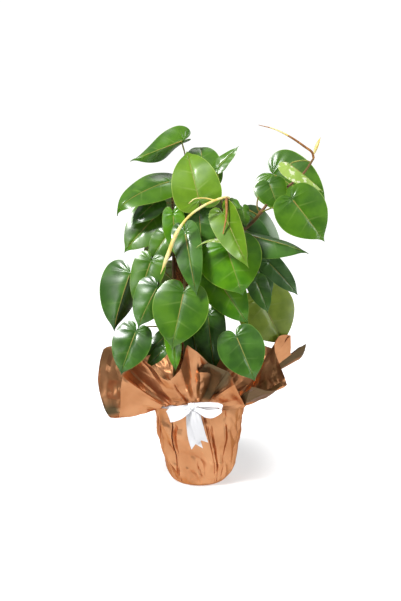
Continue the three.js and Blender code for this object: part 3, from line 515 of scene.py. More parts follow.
def midrib_of(bend, droop, steps=96):
    """The midrib's side view, one long: it arches by bend and hangs by droop towards the tip."""

    def heading(u):
        return -bend * u - droop * np.maximum(0, (u - DROOP_FROM) / (1 - DROOP_FROM)) ** 2

    h = heading((np.arange(steps) + 0.5) / steps)
    line = np.concatenate([[[0, 0]], np.cumsum(np.stack([np.cos(h), np.sin(h)], 1) / steps, axis=0)])
    turn, scale = -math.atan2(line[-1, 1], line[-1, 0]), 1 / np.linalg.norm(line[-1])
    spin = np.array([[math.cos(turn), math.sin(turn)], [-math.sin(turn), math.cos(turn)]])
    knots = np.linspace(0, 1, steps + 1)

    def at(u):
        behind = np.stack([np.cos(heading(u / 2)) * u, np.sin(heading(u / 2)) * u], -1)
        ahead = np.stack([np.interp(u, knots, line[:, k]) for k in (0, 1)], -1)
        place = np.where((u < 0)[..., None], behind, ahead)
        return (place @ spin) * scale, heading(u) + turn

    return at


class Leaf:
    """One leaf: its blade as a surface over (along the midrib, out to the side), and its petiole.

    face says, in degrees, how far round from the front and how far up it looks. width is a share of its
    length, full widens its middle, fold and curl tilt and roll its two halves, and bend and droop arch its
    midrib. twist turns it towards its tip, wave ripples its rim, and its petiole passes the point via."""

    def __init__(self, joint, tip, vine, height, face, **shape):
        self.joint, self.tip = np.array(joint, float), np.array(tip, float)
        self.vine, self.height = vine, height
        self.width, self.full, self.fold, self.curl = 0.92, 0, (6, 6), (-14, -14)
        self.bend, self.droop, self.twist, self.wave, self.via = 0.35, 0.5, 0, 1.5, None
        for key, value in shape.items():
            setattr(self, key, value)
        chord = self.tip - self.joint
        self.length = float(np.linalg.norm(chord))
        self.forward = chord / self.length
        azimuth, elevation = (math.radians(a) for a in face)
        level = math.cos(elevation)
        looks = np.array([math.sin(azimuth) * level, -math.cos(azimuth) * level, math.sin(elevation)])
        self.up = unit(looks - self.forward * (looks @ self.forward))
        self.side = np.cross(self.up, self.forward)
        self.midrib = midrib_of(self.bend, self.droop)

    def at(self, u, v):
        """Point, normal, direction along the midrib and level up, at blade coordinates u and v."""
        u, v = np.asarray(u, float), np.asarray(v, float)
        place, heading = self.midrib(u)
        hand = np.where(v < 0, 1, 0)
        fold = np.radians(np.array(self.fold, float))[hand]
        half = self.width * self.length / 2
        fullness = 1 + self.full * 4 * np.maximum(0, u) * (1 - u)
        out = np.abs(v) / BLADE["half_width"] * half * fullness
        turning = np.radians(np.array(self.curl, float))[hand] / half + LEAST_TURN
        angle = fold + turning * out
        across = (np.sin(angle) - np.sin(fold)) / turning
        ripple = self.wave * (v / BLADE["half_width"]) ** 2
        ripple = ripple * np.sin(WAVES * u + WAVE_START * np.sign(v) + self.joint[0])
        lift = (np.cos(fold) - np.cos(angle)) / turning + ripple
        turn = (np.radians(self.twist) * np.maximum(0, u))[..., None]
        heading = heading[..., None]
        level = self.up * np.cos(heading) - self.forward * np.sin(heading)
        up = level * np.cos(turn) - self.side * np.sin(turn)
        aside = self.side * np.cos(turn) + level * np.sin(turn)
        along = self.forward * np.cos(heading) + self.up * np.sin(heading)
        point = self.joint + (self.forward * place[..., :1] + self.up * place[..., 1:]) * self.length
        point = point + up * lift[..., None] + aside * (np.sign(v) * across)[..., None]
        lean = np.where(v == 0, 0, angle)[..., None]
        normal = up * np.cos(lean) - aside * (np.sign(v)[..., None] * np.sin(lean))
        return point, normal, along, up

    def petiole_path(self):
        point, _, along, up = (a[0] for a in self.at([0.0], [0.0]))
        centre, direction, radius = vine_at(self.vine, self.height)
        out = point - centre
        out = unit(out - direction * (out @ direction))
        base = centre + out * STALK["inside"] * radius
        reach = np.linalg.norm(point - base)
        root = point + along * STALK["past"] - up * STALK["sunk"]
        if self.via:
            return spread_evenly(curve_through([base, self.via, root], 16), STALK_RINGS)
        leaving = base + out * STALK["out"] * reach + UP * STALK["rise"] * reach
        arriving = point - along * STALK["back"] * reach - up * STALK["below"] * reach
        return bezier(base, leaving, arriving, root, STALK_RINGS)


# Each leaf: petiole joint, tip, the vine and height it springs from, which way its face looks, its shape
LEAVES = [
    Leaf((-28, -20, 661), (-127, -45, 625), "back_left", 530, (-8, 8), width=0.58, fold=(-72, 4),
         curl=(-30, -20), twist=85, via=(-26, 22, 616)),
    Leaf((-53, -16, 584), (-151, -60, 525), "left", 545, (-14, 44), width=0.6, fold=(3, 3), curl=(-22, -22),
         bend=0.7, droop=1.2),
    Leaf((0, -80, 558), (-23, -24, 641), "front", 540, (-6, 26), width=0.88, bend=1.0, droop=0.1,
         curl=(-6, -6)),
    Leaf((7, -10, 585), (1, 44, 637), "back_right", 520, (4, 30), width=1.0, bend=1.7, droop=0.6,
         curl=(-6, -6)),
    Leaf((33, -26, 610), (73, -20, 650), "front_right", 540, (-35, 20), width=0.5, bend=0.2, droop=-0.4),
    Leaf((138, 12, 594), (241, -8, 530), "right", 565, (0, 18), width=0.95, via=(140, -8, 584)),
    Leaf((128, -56, 586), (146, -68, 538), "right", 528, (-5, 36), width=1.12),
    Leaf((164, -62, 622), (226, -78, 572), "right", 622, (5, 30), width=0.66, fold=(-72, 12),
         curl=(-10, -10), droop=0.2),
    Leaf((168, -99, 563), (228, -107, 485), "right", 530, (5, 18), width=0.9, full=0.16, bend=0.2,
         droop=0.2, via=(150, -92, 552)),
    Leaf((69, 8, 503), (143, 2, 443), "right", 470, (12, 15), width=0.7),
    Leaf((84, 56, 498), (155, 56, 418), "right", 452, (14, 30), width=0.86),
    Leaf((73, -66, 495), (201, -90, 460), "right", 440, (4, 28), width=0.54, full=0.1, fold=(-50, 0),
         curl=(-20, -16)),
    Leaf((49, -96, 476), (80, -112, 386), "front_right", 435, (-6, 18), width=1.16, full=0.1),
    Leaf((72, -117, 470), (-6, -124, 477), "front_right", 505, (0, 74), width=0.25, bend=1.8, droop=0,
         fold=(3, 3), via=(50, -94, 492)),
    Leaf((45, -98, 535), (89, -164, 446), "front_right", 536, (-6, 16), width=0.52, fold=(40, 8),
         curl=(-4, -4), bend=0.2),
    Leaf((-26, -102, 503), (-4, -134, 389), "front", 430, (-5, 22), width=0.44, bend=0.5, droop=0.6,
         via=(-34, -84, 468)),
    Leaf((0, -61, 529), (7, -71, 453), "front", 505, (-6, 22), width=0.9),
    Leaf((-73, -19, 527), (-140, -38, 452), "left", 482, (-16, 16), width=0.82),
    Leaf((-78, -36, 550), (-124, -50, 505), "left", 540, (-20, 30), width=0.72, fold=(2, 2),
         curl=(-30, -30)),
    Leaf((-60, -52, 487), (-91, -58, 439), "left", 448, (-8, 20), width=0.82),
    Leaf((-48, -66, 530), (-41, -70, 449), "front", 462, (-6, 14), width=0.52),
    Leaf((-89, -75, 444), (-115, -85, 356), "left", 395, (-10, 24), width=0.68),
    Leaf((-129, -46, 416), (-159, -58, 306), "left", 366, (-18, 10), fold=(-70, 2)),
    Leaf((-77, -102, 401), (-112, -114, 326), "left", 340, (-12, 24), width=0.84, fold=(-30, 6)),
    Leaf((-28, -118, 395), (-50, -136, 290), "front", 372, (-5, 8), width=0.86, full=0.16),
    Leaf((-50, -92, 314), (-43, -108, 242), "front", 288, (0, 15), width=0.46, fold=(24, 24)),
    Leaf((-117, -88, 315), (-145, -102, 234), "left", 298, (-10, 16), width=0.78, full=0.14),
    Leaf((-59, -52, 301), (-105, -64, 257), "left", 270, (-6, 30), width=0.5),
    Leaf((-66, -78, 278), (-99, -80, 242), "left", 232, (-4, 24), width=0.5),
    Leaf((16, -54, 337), (29, -74, 233), "front_right", 330, (-5, 12), width=0.6),
    Leaf((68, -98, 308), (103, -112, 224), "front_right", 285, (4, 16), width=0.86, full=0.16,
         via=(66, -60, 298)),
    Leaf((114, 6, 359), (161, 12, 264), "right", 330, (5, 20), width=0.96, full=0.16),
    Leaf((105, -56, 403), (128, -62, 343), "right", 385, (5, 20), width=0.66),
    Leaf((100, 12, 430), (138, 6, 361), "right", 420, (5, 20), width=0.66),
    Leaf((129, -28, 433), (185, -40, 371), "right", 440, (10, 20), width=0.52),
    Leaf((24, -66, 422), (92, -80, 324), "front", 412, (-4, 12), width=0.68),
    Leaf((57, -54, 552), (77, -62, 537), "right", 522, (10, 36), width=0.8),
    Leaf((80, -58, 540), (86, -66, 504), "right", 514, (10, 30), width=0.62),
    Leaf((-16, -38, 324), (-1, -55, 236), "front", 312, (0, 12), width=0.5),
    Leaf((-42, 64, 548), (-70, 122, 466), "back_left", 530, (200, 20)),
    Leaf((20, 70, 530), (34, 128, 440), "back_right", 534, (165, 20)),
    Leaf((-56, 54, 472), (-84, 98, 384), "back_left", 440, (215, 20)),
    Leaf((2, 96, 440), (-4, 142, 346), "back_left", 450, (185, 20)),
    Leaf((78, 86, 450), (108, 120, 362), "back_right", 430, (140, 20)),
    Leaf((-44, 88, 404), (-64, 132, 308), "back_left", 350, (205, 15)),
    Leaf((52, 82, 420), (78, 128, 330), "back_right", 360, (150, 15)),
]
# The finish of each leaf that isn't a plain mature one, and how far the flesh stands up between its veins
FINISHES = {
    "fresh": (3, 15),
    "pale": (8, 14),
    "bright": (13, 21, 26, 36, 43),
    # These leaves carry the painted sky reflection
    "sky_reflecting": (10, 11, 34, 35),
    # Darker leaves, darkened further as painted shade where they lie in the plant's shade
    "deep": (12, 16, 17, 19, 23, 24, 27, 28, 29, 30, 31, 33, 39, 41, 45),
    "olive": (32,),
}
PLAIN_RELIEF = 1.1
RELIEF = {13: 0.9, 22: 1.2, 24: 1.3, 25: 0.9, 27: 1.7, 28: 1.2, 29: 1.2, 30: 1.0, 36: 0.9}


def raised_flesh(number, leaf, phase):
    """How far the flesh stands up at each column and reach: high between veins, pinched at the midrib."""
    uneven = 0.75 + 0.5 * np.sin(number + 2.4 * np.floor(phase)) ** 2
    flesh = np.sin(np.pi * phase) ** 2 * smooth(0.0, FLESH["rise"], REACHES) * (1 - REACHES) ** FLESH["fade"]
    pinch = np.exp(-((REACHES / FLESH["pinch_width"]) ** 2)) * smooth(0.02, 0.2, OUTLINE[:, :1])
    height = RELIEF.get(number, PLAIN_RELIEF) * leaf.length / FLESH["usual_length"]
    return height * (flesh * uneven - FLESH["pinch"] * pinch)


def add_blade(shape, number, leaf):
    """Both faces and the thin rim of each half, with coordinates that count veins and run out to the rim."""
    phase = np.linspace(0, VEINS, len(OUTLINE))[:, None]
    relief = raised_flesh(number, leaf, phase)[..., None]
    start = BLADE["vein_start"]
    root = np.maximum(0, (OUTLINE[:, :1] - start) / (1 - start)) ** BLADE["vein_sweep"]
    u = root + (OUTLINE[:, :1] - root) * REACHES
    thin = BLADE["thickness"] / 2 * (1 - 0.4 * REACHES)[None, :, None]
    places = np.stack(np.broadcast_arrays(phase + 0.5, REACHES), -1)
    for sign in (1, -1):
        point, normal, _, _ = leaf.at(u, sign * OUTLINE[:, 1:] * REACHES)
        middle = point + normal * relief
        top, below = middle + normal * thin, middle - normal * thin
        shape.add_grid(top, 0, places, flip=sign > 0)
        shape.add_grid(below, 1, places, flip=sign < 0)
        shape.add_grid(np.stack([top[:, -1], below[:, -1]], 1), 2, flip=sign > 0)


def add_stalk(shape, leaf):
    """The petiole, which thickens where it meets the blade and is carried on under it as the midrib."""
    petiole = leaf.petiole_path()
    share = np.linspace(0, 1, len(petiole))
    knee = 1 + KNEE["swelling"] * np.exp(-(((share - KNEE["at"]) / KNEE["wide"]) ** 2))
    taper = PETIOLE_RADIUS * (1 - 0.2 * share) * knee
    u = np.linspace(MIDRIB["from"], MIDRIB["to"], MIDRIB["points"])
    ribs, _, _, up = leaf.at(u, np.zeros(len(u)))
    radii = MIDRIB["radius"] - MIDRIB["thins"] * u
    path = np.concatenate([petiole, ribs - up * (MIDRIB["deep"] + MIDRIB["deep"] * radii)[:, None]])
    shape.add_tube(path, np.concatenate([taper, radii]), STALK_SIDES, 2)


def make_leaf(number, leaf):
    """A blade with raised flesh between its veins, its underside, thin rim, petiole and midrib."""
    finish = next((name for name, numbers in FINISHES.items() if number in numbers), "mature")
    shape = Shape()
    add_blade(shape, number, leaf)
    add_stalk(shape, leaf)
    piece = shape.make(f"leaf_{number:02d}_blade", [LEAF_FINISHES[finish], UNDERSIDE, PETIOLE])
    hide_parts(f"leaf_{number:02d}")


# New growth at the ends of two vines
FRONT_ROLL = [
    (47, -100, 566), (30, -108, 562), (8, -117, 553), (-15, -124, 538), (-33, -129, 518),
    (-46, -133, 494), (-55, -134, 470), (-64, -134, 446), (-70, -134, 431),
]
FRONT_SHEATH = [(49, -99, 565), (49, -120, 535), (43, -130, 504)]
FRONT_TENDRIL = [(30, -108, 561), (10, -112, 566), (-9, -116, 565), (-19, -118, 557)]
SIDE_ROLL = [(207, -45, 641), (194, -45, 651), (166, -48, 670), (138, -50, 684), (108, -52, 692)]
SIDE_SHEATH = [(210, -45, 637), (216, -44, 654), (222, -42, 668)]
# The side shoot's rings, and which of them are brown, pale and brown again
SIDE_RINGS = 48
SIDE_PARTS = ((0, 26, 1), (25, 40, 0), (39, 48, 1))


def make_front_shoot():
    """A rolled leaf that swells towards its tip, with its brown sheath and a thin tendril."""
    rings = spread_evenly(curve_through([VINES["front_right"][-1], *FRONT_ROLL], 12), 72)
    share = np.linspace(0, 1, len(rings))
    swelling = 2.3 + 1.5 * smooth(0.5, 0.66, share) - 3.3 * smooth(0.86, 1.0, share)
    shape = Shape()
    shape.add_tube(rings, swelling, 12, 0)
    sheath = curve_through(FRONT_SHEATH, 12)
    shape.add_tube(sheath, 2.8 - 1.8 * np.linspace(0, 1, len(sheath)), 8, 1)
    tendril = curve_through(FRONT_TENDRIL, 10)
    shape.add_tube(tendril, 1.6 - 1.0 * np.linspace(0, 1, len(tendril)), 8, 0)
    piece = shape.make("new_leaf_roll_front", [NEW_SHOOT, BROWN_SHOOT])
    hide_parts("shoot_front")


def make_side_shoot():
    """A thin brown shoot whose pale stretch is near its tip, with a papery sheath standing beside it."""
    path = spread_evenly(curve_through([VINES["right"][-1], *SIDE_ROLL], 12), SIDE_RINGS)
    radii = 2.4 - 1.9 * np.linspace(0, 1, SIDE_RINGS) ** 2
    shape = Shape()
    for first, last, slot in SIDE_PARTS:
        shape.add_tube(path[first:last], radii[first:last], 10, slot)
    sheath = curve_through(SIDE_SHEATH, 12)
    share = np.linspace(0, 1, len(sheath))
    turns = circle(12)
    flat = np.sqrt((2.0 * np.cos(turns)) ** 2 + (0.5 * np.sin(turns)) ** 2)
    shape.add_tube(sheath, 0.4 + 2.8 * np.sin(np.pi * share**0.8), 12, 0, np.tile(flat, (len(sheath), 1)))
    piece = shape.make("new_leaf_roll_side", [NEW_SHOOT, BROWN_SHOOT])
    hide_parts("shoot_side")


# Copper paper: the angle where each fold leaves the neck, where the free edge lies, and how far the fold
# stands up, or droops, as it leaves the neck
COLLAR = [
    (-150, -112, 92, 226, 8), (-130, -160, 58, 250, 6), (-114, -186, 22, 252, 4),
    (-100, -195, 0, 198, -3), (-88, -184, -20, 154, -9), (-76, -168, -45, 139, -11),
    (-63, -150, -72, 145, -16), (-50, -147, -85, 201, -14), (-40, -142, -90, 229, -12),
    (-32, -124, -62, 238, -12), (-23, -102, -105, 262, -12), (-17, -76, -115, 239, -9),
    (-13, -54, -122, 230, -6), (-9, -36, -112, 250, -3), (-5, -23, -95, 290, 2),
    (-1, -4, -100, 278, 4), (3, 20, -115, 252, -4), (7, 36, -125, 250, -4),
    (11, 53, -120, 245, 6), (16, 62, -143, 224, 8), (22, 86, -127, 178, -11),
    (30, 97, -122, 216, -14), (39, 118, -100, 205, -14), (49, 146, -75, 196, -13),
    (59, 166, -58, 203, -12), (69, 154, -42, 236, -10), (79, 141, -28, 264, -4),
    (89, 150, -10, 287, 4), (99, 177, 0, 284, 4), (109, 176, 10, 244, 2),
    (120, 205, 16, 266, 6), (133, 194, 36, 228, 0), (148, 128, 84, 244, 8),
    (162, 76, 108, 224, 0), (176, 24, 128, 252, 8), (192, -38, 118, 226, 0),
]
# The nursery pot's outer radius at each height, which the paper is drawn against and never passes, and the
# least gap between them
POT_SIDE = np.array([(42, 0), (56, 16), (76.8, 122), (82, 131), (82, 180)], float)
POT_GAP = 0.9
# The paper body's outer radius at each height, before it is pleated
BODY = np.array([(44, 0), (52, 5), (61.5, 17), (68.5, 38), (81, 90), (86.5, 140), (86, 160)], float)
# How many rings of points the body and the collar have, and how many columns lie between collar points
BODY_ROWS, COLLAR_ROWS, PER_COLLAR_STEP = 72, 29, 5
# How much of the free edge's line is a smooth curve, where the rest is straight
ROUNDED = 0.6
# Pleats: the angle at the neck, the angle at the foot, the depth of each fold in the body, and how many
# degrees its mouth stands open at the neck
PLEATS = [
    (-160, -150, 6, 4), (-126, -132, 5, 3), (-92, -86, 6, 4), (-64, -66, 5, 3), (-34, -42, 9, 7),
    (2, 38, 9, 6), (33, 44, 8, 5), (63, 74, 9, 5), (98, 104, 5, 4), (136, 128, 6, 4), (168, 160, 5, 3),
]
# How many degrees before and after a pleat are kept clear of other columns
CLEAR_BEFORE, CLEAR_AFTER = 2.2, 1.5
# A lap across a pleat: how many degrees round each of its lines lies, and at what share of the pleat's depth
LAP = [(-0.3, 0.0), (-5.0, 0.5), (0.3, 1.0), (0.6, 0.95), (1.0, 0.3)]
# Panels painted a duller olive bronze, as painted reflection of the leaves and painted shade in the folds:
# from and to which neck angle, how far out they start, and how fully
PAINTED_OLIVE_PANELS = [
    (-91, -79, 0.72, 1.0), (1, 13, 0.05, 1.0), (24, 44, 0.28, 0.95), (44, 50, 0.5, 0.9),
    (112, 130, 0.55, 1.0),
]
# Deep folds of the collar: the neck angle, how many degrees it is to either side, and its depth
VALLEYS = [
    (-36, 3.5, 12), (-26, 2.5, 7), (-12, 2.2, 7), (2.6, 4.8, 34), (13.5, 2.5, 9), (20, 2.5, 8),
    (54, 3, 8), (66, 3, 9),
]
# Hand-crushed foil: how many cells lie round the sheet, how many millimetres long each is, and the seed
BODY_DENTS, BODY_CRUMPLES = (18, 28, 4), (42, 12, 8)
COLLAR_DENTS, COLLAR_CRUMPLES = (26, 34, 15), (60, 14, 23)
CELL_ROWS = 24
# How deep the body's dents and crumples are, and how far out it stands to make up for them
DENT, CRUMPLE, FULLNESS = 4.0, 1.5, 4.4
# The low front is crushed more: its middle and spread in degrees, then in millimetres up, and by how much
LOW_FRONT = {"angle": -4, "wide": 34, "height": 34, "tall": 26, "more": 1.3}
# The tie holds the body from this far below it to this far above, and folds below it are this deep and long
HELD_BELOW, HELD_ABOVE, NECK_FOLD, NECK_FOLD_REACH = 26, 2, 1.6, 44
# How high above the foot pleats, and then dents, begin to show
PLEATS_SHOW, DENTS_SHOW = 12, 16
# The collar's gathers at the neck, its dents there and how they grow outwards, its crumples, how far out they
# are in full, and how sharp an edge, in degrees, is drawn as a crease
COLLAR_GATHER, COLLAR_DENT, DENT_GROWTH, COLLAR_CRUMPLE, CRUSHED_BY, CREASED = 4.2, 1.6, 2.6, 1.5, 0.3, 9
# Gathers round the neck: degrees between them, how far they wander, how strong the weakest is, and the seed
GATHERS = {"step": 7.5, "wander": 2, "least": 0.4, "seed": 5}


def foot_angle(turn):
    """The angle at the foot of the panel that leaves the neck at turn: pleats lean, so panels do too."""
    neck = np.array([p[0] for p in PLEATS], float)
    foot = np.array([p[1] for p in PLEATS], float)
    neck = np.concatenate([neck - 360, neck, neck + 360])
    foot = np.concatenate([foot - 360, foot, foot + 360])
    return np.interp(turn, neck, foot)


def rim_at(turn):
    """The free edge at neck angles, between a smooth curve and straight creases, and each fold's stand."""
    angles = np.array([c[0] for c in COLLAR] + [COLLAR[0][0] + 360], float)
    corners = np.array([c[1:4] for c in COLLAR] + [COLLAR[0][1:4]], float)
    edge = curve_through(corners[:-1], PER_COLLAR_STEP, closed=True)
    edge = np.concatenate([edge, edge[:1]])
    place = np.interp((turn - angles[0]) % 360 + angles[0], angles, np.arange(len(angles)))
    fine = place * PER_COLLAR_STEP
    rounded = np.stack([np.interp(fine, np.arange(len(edge)), edge[:, k]) for k in range(3)], -1)
    straight = np.stack([np.interp(place, np.arange(len(corners)), corners[:, k]) for k in range(3)], -1)
    arch = np.interp(place, np.arange(len(angles)), [c[4] for c in COLLAR] + [COLLAR[0][4]])
    return ROUNDED * rounded + (1 - ROUNDED) * straight, arch


def sheet_columns():
    """Every column's neck angle, its shift round, and its depth as a pleat mouth, sorted round the neck."""
    columns = []
    for i, (angle, *_) in enumerate(COLLAR):
        following = COLLAR[(i + 1) % len(COLLAR)][0] + (360 if i + 1 == len(COLLAR) else 0)
        span = following - angle
        columns += [(angle + span * k / PER_COLLAR_STEP, 0.0, 0.0) for k in range(PER_COLLAR_STEP)]
    start = columns[0][0]
    for neck, _, deep, mouth in PLEATS:
        neck = (neck - start) % 360 + start
        columns = [c for c in columns if not -CLEAR_BEFORE < c[0] - neck < mouth + CLEAR_AFTER]
        # A lap's lines leave the neck at nearly one angle: a thousandth of a degree keeps them in order
        for shift, share in LAP:
            round_by = shift if shift < 0 else shift * mouth
            columns.append((neck + 0.001 * (shift + 6), round_by, share * deep))
    columns.sort(key=lambda c: c[0])
    return (np.array(column) for column in zip(*columns))


def crushed(around, along, cells, cell, seed):
    """Heights of hand-crushed foil: flat facets between creases, from a lattice of random heights.

    around runs from 0 to 1 round the sheet, over that many cells, and along is in millimetres."""
    draw = np.random.default_rng(seed)
    table = draw.uniform(-1, 1, (cells, CELL_ROWS))
    warp = 0.35 * np.sin(9.1 * around * math.pi + along / cell)
    u = (around * cells + warp * np.sin(along / cell * 1.7)) % cells
    v = np.clip(along / cell + 0.4 * np.sin(around * 14 * math.pi) + 1, 0, CELL_ROWS - 2.01)
    i, j = np.floor(u).astype(int), np.floor(v).astype(int)
    f, g = u - i, v - j
    near, following = i % cells, (i + 1) % cells
    here, aside = table[near, j], table[following, j]
    above, opposite = table[near, j + 1], table[following, j + 1]
    low = here + f * (aside - here) + g * (above - here)
    high = opposite + (1 - f) * (above - opposite) + (1 - g) * (aside - opposite)
    return np.where(f + g < 1, low, high)


def gathers(turn):
    """Straight-sided gathers round the neck, one every few degrees, alternately in and out."""
    draw = np.random.default_rng(GATHERS["seed"])
    lines = np.arange(-180, 181, GATHERS["step"])
    count = len(lines)
    lines = lines + draw.uniform(-GATHERS["wander"], GATHERS["wander"], count)
    lines[-1] = lines[0] + 360
    heights = draw.uniform(GATHERS["least"], 1, count) * np.where(np.arange(count) % 2, 1, -1)
    heights[-1] = heights[0]
    return np.interp((turn - lines[0]) % 360 + lines[0], lines, heights)


def body_dents(angle, height):
    """How far the crushed body stands in from its mean radius: wide dents, and crumples between them."""
    dents = DENT * (1 - crushed(angle / 360, height, *BODY_DENTS))
    dents = dents + CRUMPLE * (1 - crushed(angle / 360, height, *BODY_CRUMPLES))
    round_front = np.exp(-(((angle - LOW_FRONT["angle"]) / LOW_FRONT["wide"]) ** 2))
    low_front = round_front * np.exp(-(((height - LOW_FRONT["height"]) / LOW_FRONT["tall"]) ** 2))
    return dents * (1 + LOW_FRONT["more"] * low_front) - FULLNESS


def paper_body(turn, shift, deep):
    """The sheet from the edge of its foot up to the neck: pleated, dented and kept off the pot."""
    radius, height = spread_evenly(curve_through(BODY, 16), BODY_ROWS).T
    climb = height / PAPER["neck_height"]
    open_by = smooth(0, PLEATS_SHOW, height) * (0.3 + 0.7 * climb)
    held = 1 - smooth(PAPER["tie_low"] - HELD_BELOW, PAPER["tie_low"] + HELD_ABOVE, height)
    foot = foot_angle(turn)
    angle = foot[:, None] + (turn - foot)[:, None] * climb + shift[:, None] * open_by * (0.35 + 0.65 * held)
    a = np.radians(angle)
    spokes = np.stack([np.sin(a), -np.cos(a), np.zeros_like(a)], -1)
    dents = body_dents(angle, height[None, :]) * smooth(0, DENTS_SHOW, height) * held
    below_neck = (PAPER["neck_height"] - height) / NECK_FOLD_REACH
    folds = NECK_FOLD * (1 - gathers(turn)[:, None]) * np.exp(-(below_neck**2))
    depth = deep[:, None] * open_by * (0.25 + 0.75 * held) + dents + folds * held
    rise = height + PAPER["tie_tilt"] * np.cos(a) * climb**2
    pot = np.interp(rise, POT_SIDE[:, 1], POT_SIDE[:, 0])
    spoke = np.maximum(radius - depth, np.minimum(radius, pot + POT_GAP))
    return spokes * spoke[..., None] + UP * rise[..., None]


def collar_relief(turn, out, t):
    """How far the collar stands off its plain flare: gathers at the neck, crushed foil and deep folds.

    out is how far each point lies from the neck, and t is the same as a share."""
    around = ((turn - turn[0]) / 360)[:, None]
    full = smooth(0, CRUSHED_BY, t)
    relief = COLLAR_GATHER * gathers(turn)[:, None] * smooth(0, 0.08, t) * (1 - t) ** 1.3
    relief = relief + (COLLAR_DENT + DENT_GROWTH * t) * crushed(around, out, *COLLAR_DENTS) * full
    relief = relief + COLLAR_CRUMPLE * crushed(around, out, *COLLAR_CRUMPLES) * full
    valley = np.zeros(len(turn))
    for middle, wide, low in VALLEYS:
        valley = np.maximum(valley, low * np.maximum(0, 1 - np.abs(turn - middle) / wide))
    return relief - valley[:, None] * smooth(0, 0.25, t) * (1 - 0.75 * smooth(0.5, 1, t))


def painted_olive_share(turn, t):
    """How fully each point of the sheet is painted with the olive reflection and shade."""
    shown = np.zeros((len(turn), BODY_ROWS + len(t)))
    for low, high, start, share in PAINTED_OLIVE_PANELS:
        across = smooth(low - 1.5, low + 0.5, turn) * (1 - smooth(high - 0.5, high + 1.5, turn))
        out = np.concatenate([np.zeros(BODY_ROWS), smooth(start - 0.08, start + 0.08, t)])
        shown = np.maximum(shown, share * across[:, None] * out)
    return shown


def outward(grid):
    """The outward direction at each point of a sheet that is closed round its first axis."""
    along = np.roll(grid, -1, axis=0) - np.roll(grid, 1, axis=0)
    return unit(np.cross(along, np.gradient(grid, axis=1)))


def make_paper():
    """The sheet: body with lapped pleats, the gathered neck and the flared collar, crushed all over."""
    turn, shift, deep = sheet_columns()
    body = paper_body(turn, shift, deep)
    neck = body[:, -1:]
    t = np.linspace(0, 1, COLLAR_ROWS + 1)[1:]
    rim, arch = rim_at(turn)
    stand = arch[:, None] * smooth(0, 0.1, t) * np.sqrt(1 - t)
    collar = neck + (rim[:, None] - neck) * t[None, :, None] + UP * stand[..., None]
    grid = np.concatenate([body, collar], axis=1)
    out = t * np.linalg.norm(rim - neck[:, 0], axis=1)[:, None]
    grid[:, BODY_ROWS:] += outward(grid)[:, BODY_ROWS:] * collar_relief(turn, out, t)[..., None]
    normal = outward(grid)
    grid[:, 0, 2] = 0
    inner = grid - normal * PAPER["thickness"]
    inner[:, 0] = grid[:, 0] - unit(grid[:, 0]) * 0.2 + UP * PAPER["thickness"]
    # Where the copper is painted olive bronze, as painted reflection and painted shade
    mark = painted_olive_share(turn, t)
    shape = Shape()
    shape.add_grid(grid, closed=(True, False), mark=mark)
    shape.add_grid(inner, closed=(True, False), flip=True, mark=mark)
    shape.add_grid(np.stack([grid[:, -1], inner[:, -1]], 1), closed=(True, False), mark=mark[:, -2:])
    for ring, z, flip in ((grid[:, 0], 0, False), (inner[:, 0], PAPER["thickness"], True)):
        hub = np.broadcast_to(np.array([0, 0, z], float), ring.shape)
        shape.add_grid(np.stack([ring, hub], 1), closed=(True, False), flip=flip)
    piece = shape.make("copper_paper_sheet", [FOIL], sharp=CREASED)
    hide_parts("paper_wrap")
    return piece


# Ribbon: loops and tails as stations of (centre from the knot, half of the ribbon's width as a vector)
LEFT_LOOP = [
    ((-1, -2, 0), (0, 1, 4)), ((-11, -8, -4), (-2, 2, 8)), ((-25, -10, -11), (-4, 2, 10)),
    ((-38, -6, -17), (-4, 2, 10)), ((-45, 2, -20), (-4, 2, 10)), ((-38, 9, -16), (-4, 2, 10)),
    ((-20, 6, -8), (-3, 2, 8)), ((-2, 1, -1), (0, 1, 4)),
]
RIGHT_LOOP = [
    ((1, -2, -4), (0, 1, 3)), ((12, -9, -5), (0, 2, 5)), ((25, -16, -9), (1, 3, 6.5)),
    ((38, -18, -9), (1, 4, 7)), ((50, -16, -5), (1, 5, 5)), ((56, -13, 0), (1, 6, 4)),
    ((50, -9, 4), (1, 6, 3)), ((37, -9, 6), (0, 6, 3)), ((20, -9, 6), (0, 5, 3)), ((2, -1, 4), (0, 1, 3)),
]
LEFT_TAIL = [(-1, -1, -3), (-1, -3, -17), (0, 0, -39), (3, 5, -63), (9, 8, -85)]
RIGHT_TAIL = [(3, -2, -3), (5, -4, -17), (10, -2, -39), (15, 2, -59), (19, 5, -73)]
TAIL_HALF = (0.98 * RIBBON["width"] / 2, 0, 1.4)
# The share of a tail's length that its notch cuts away in the middle
NOTCH = 0.12
STRIP_COLUMNS, BAND_COLUMNS, BAND_FOLDS = 13, 160, 11
# Creases of a strip near the knot, how far they reach, and how far its middle stands up
CREASE, CREASE_REACH, CROWN = 1.1, 22, 0.9
KNOT_HALF, KNOT_RADIUS, KNOT_RINGS, KNOT_SIDES = 8.5, 7.4, 17, 28


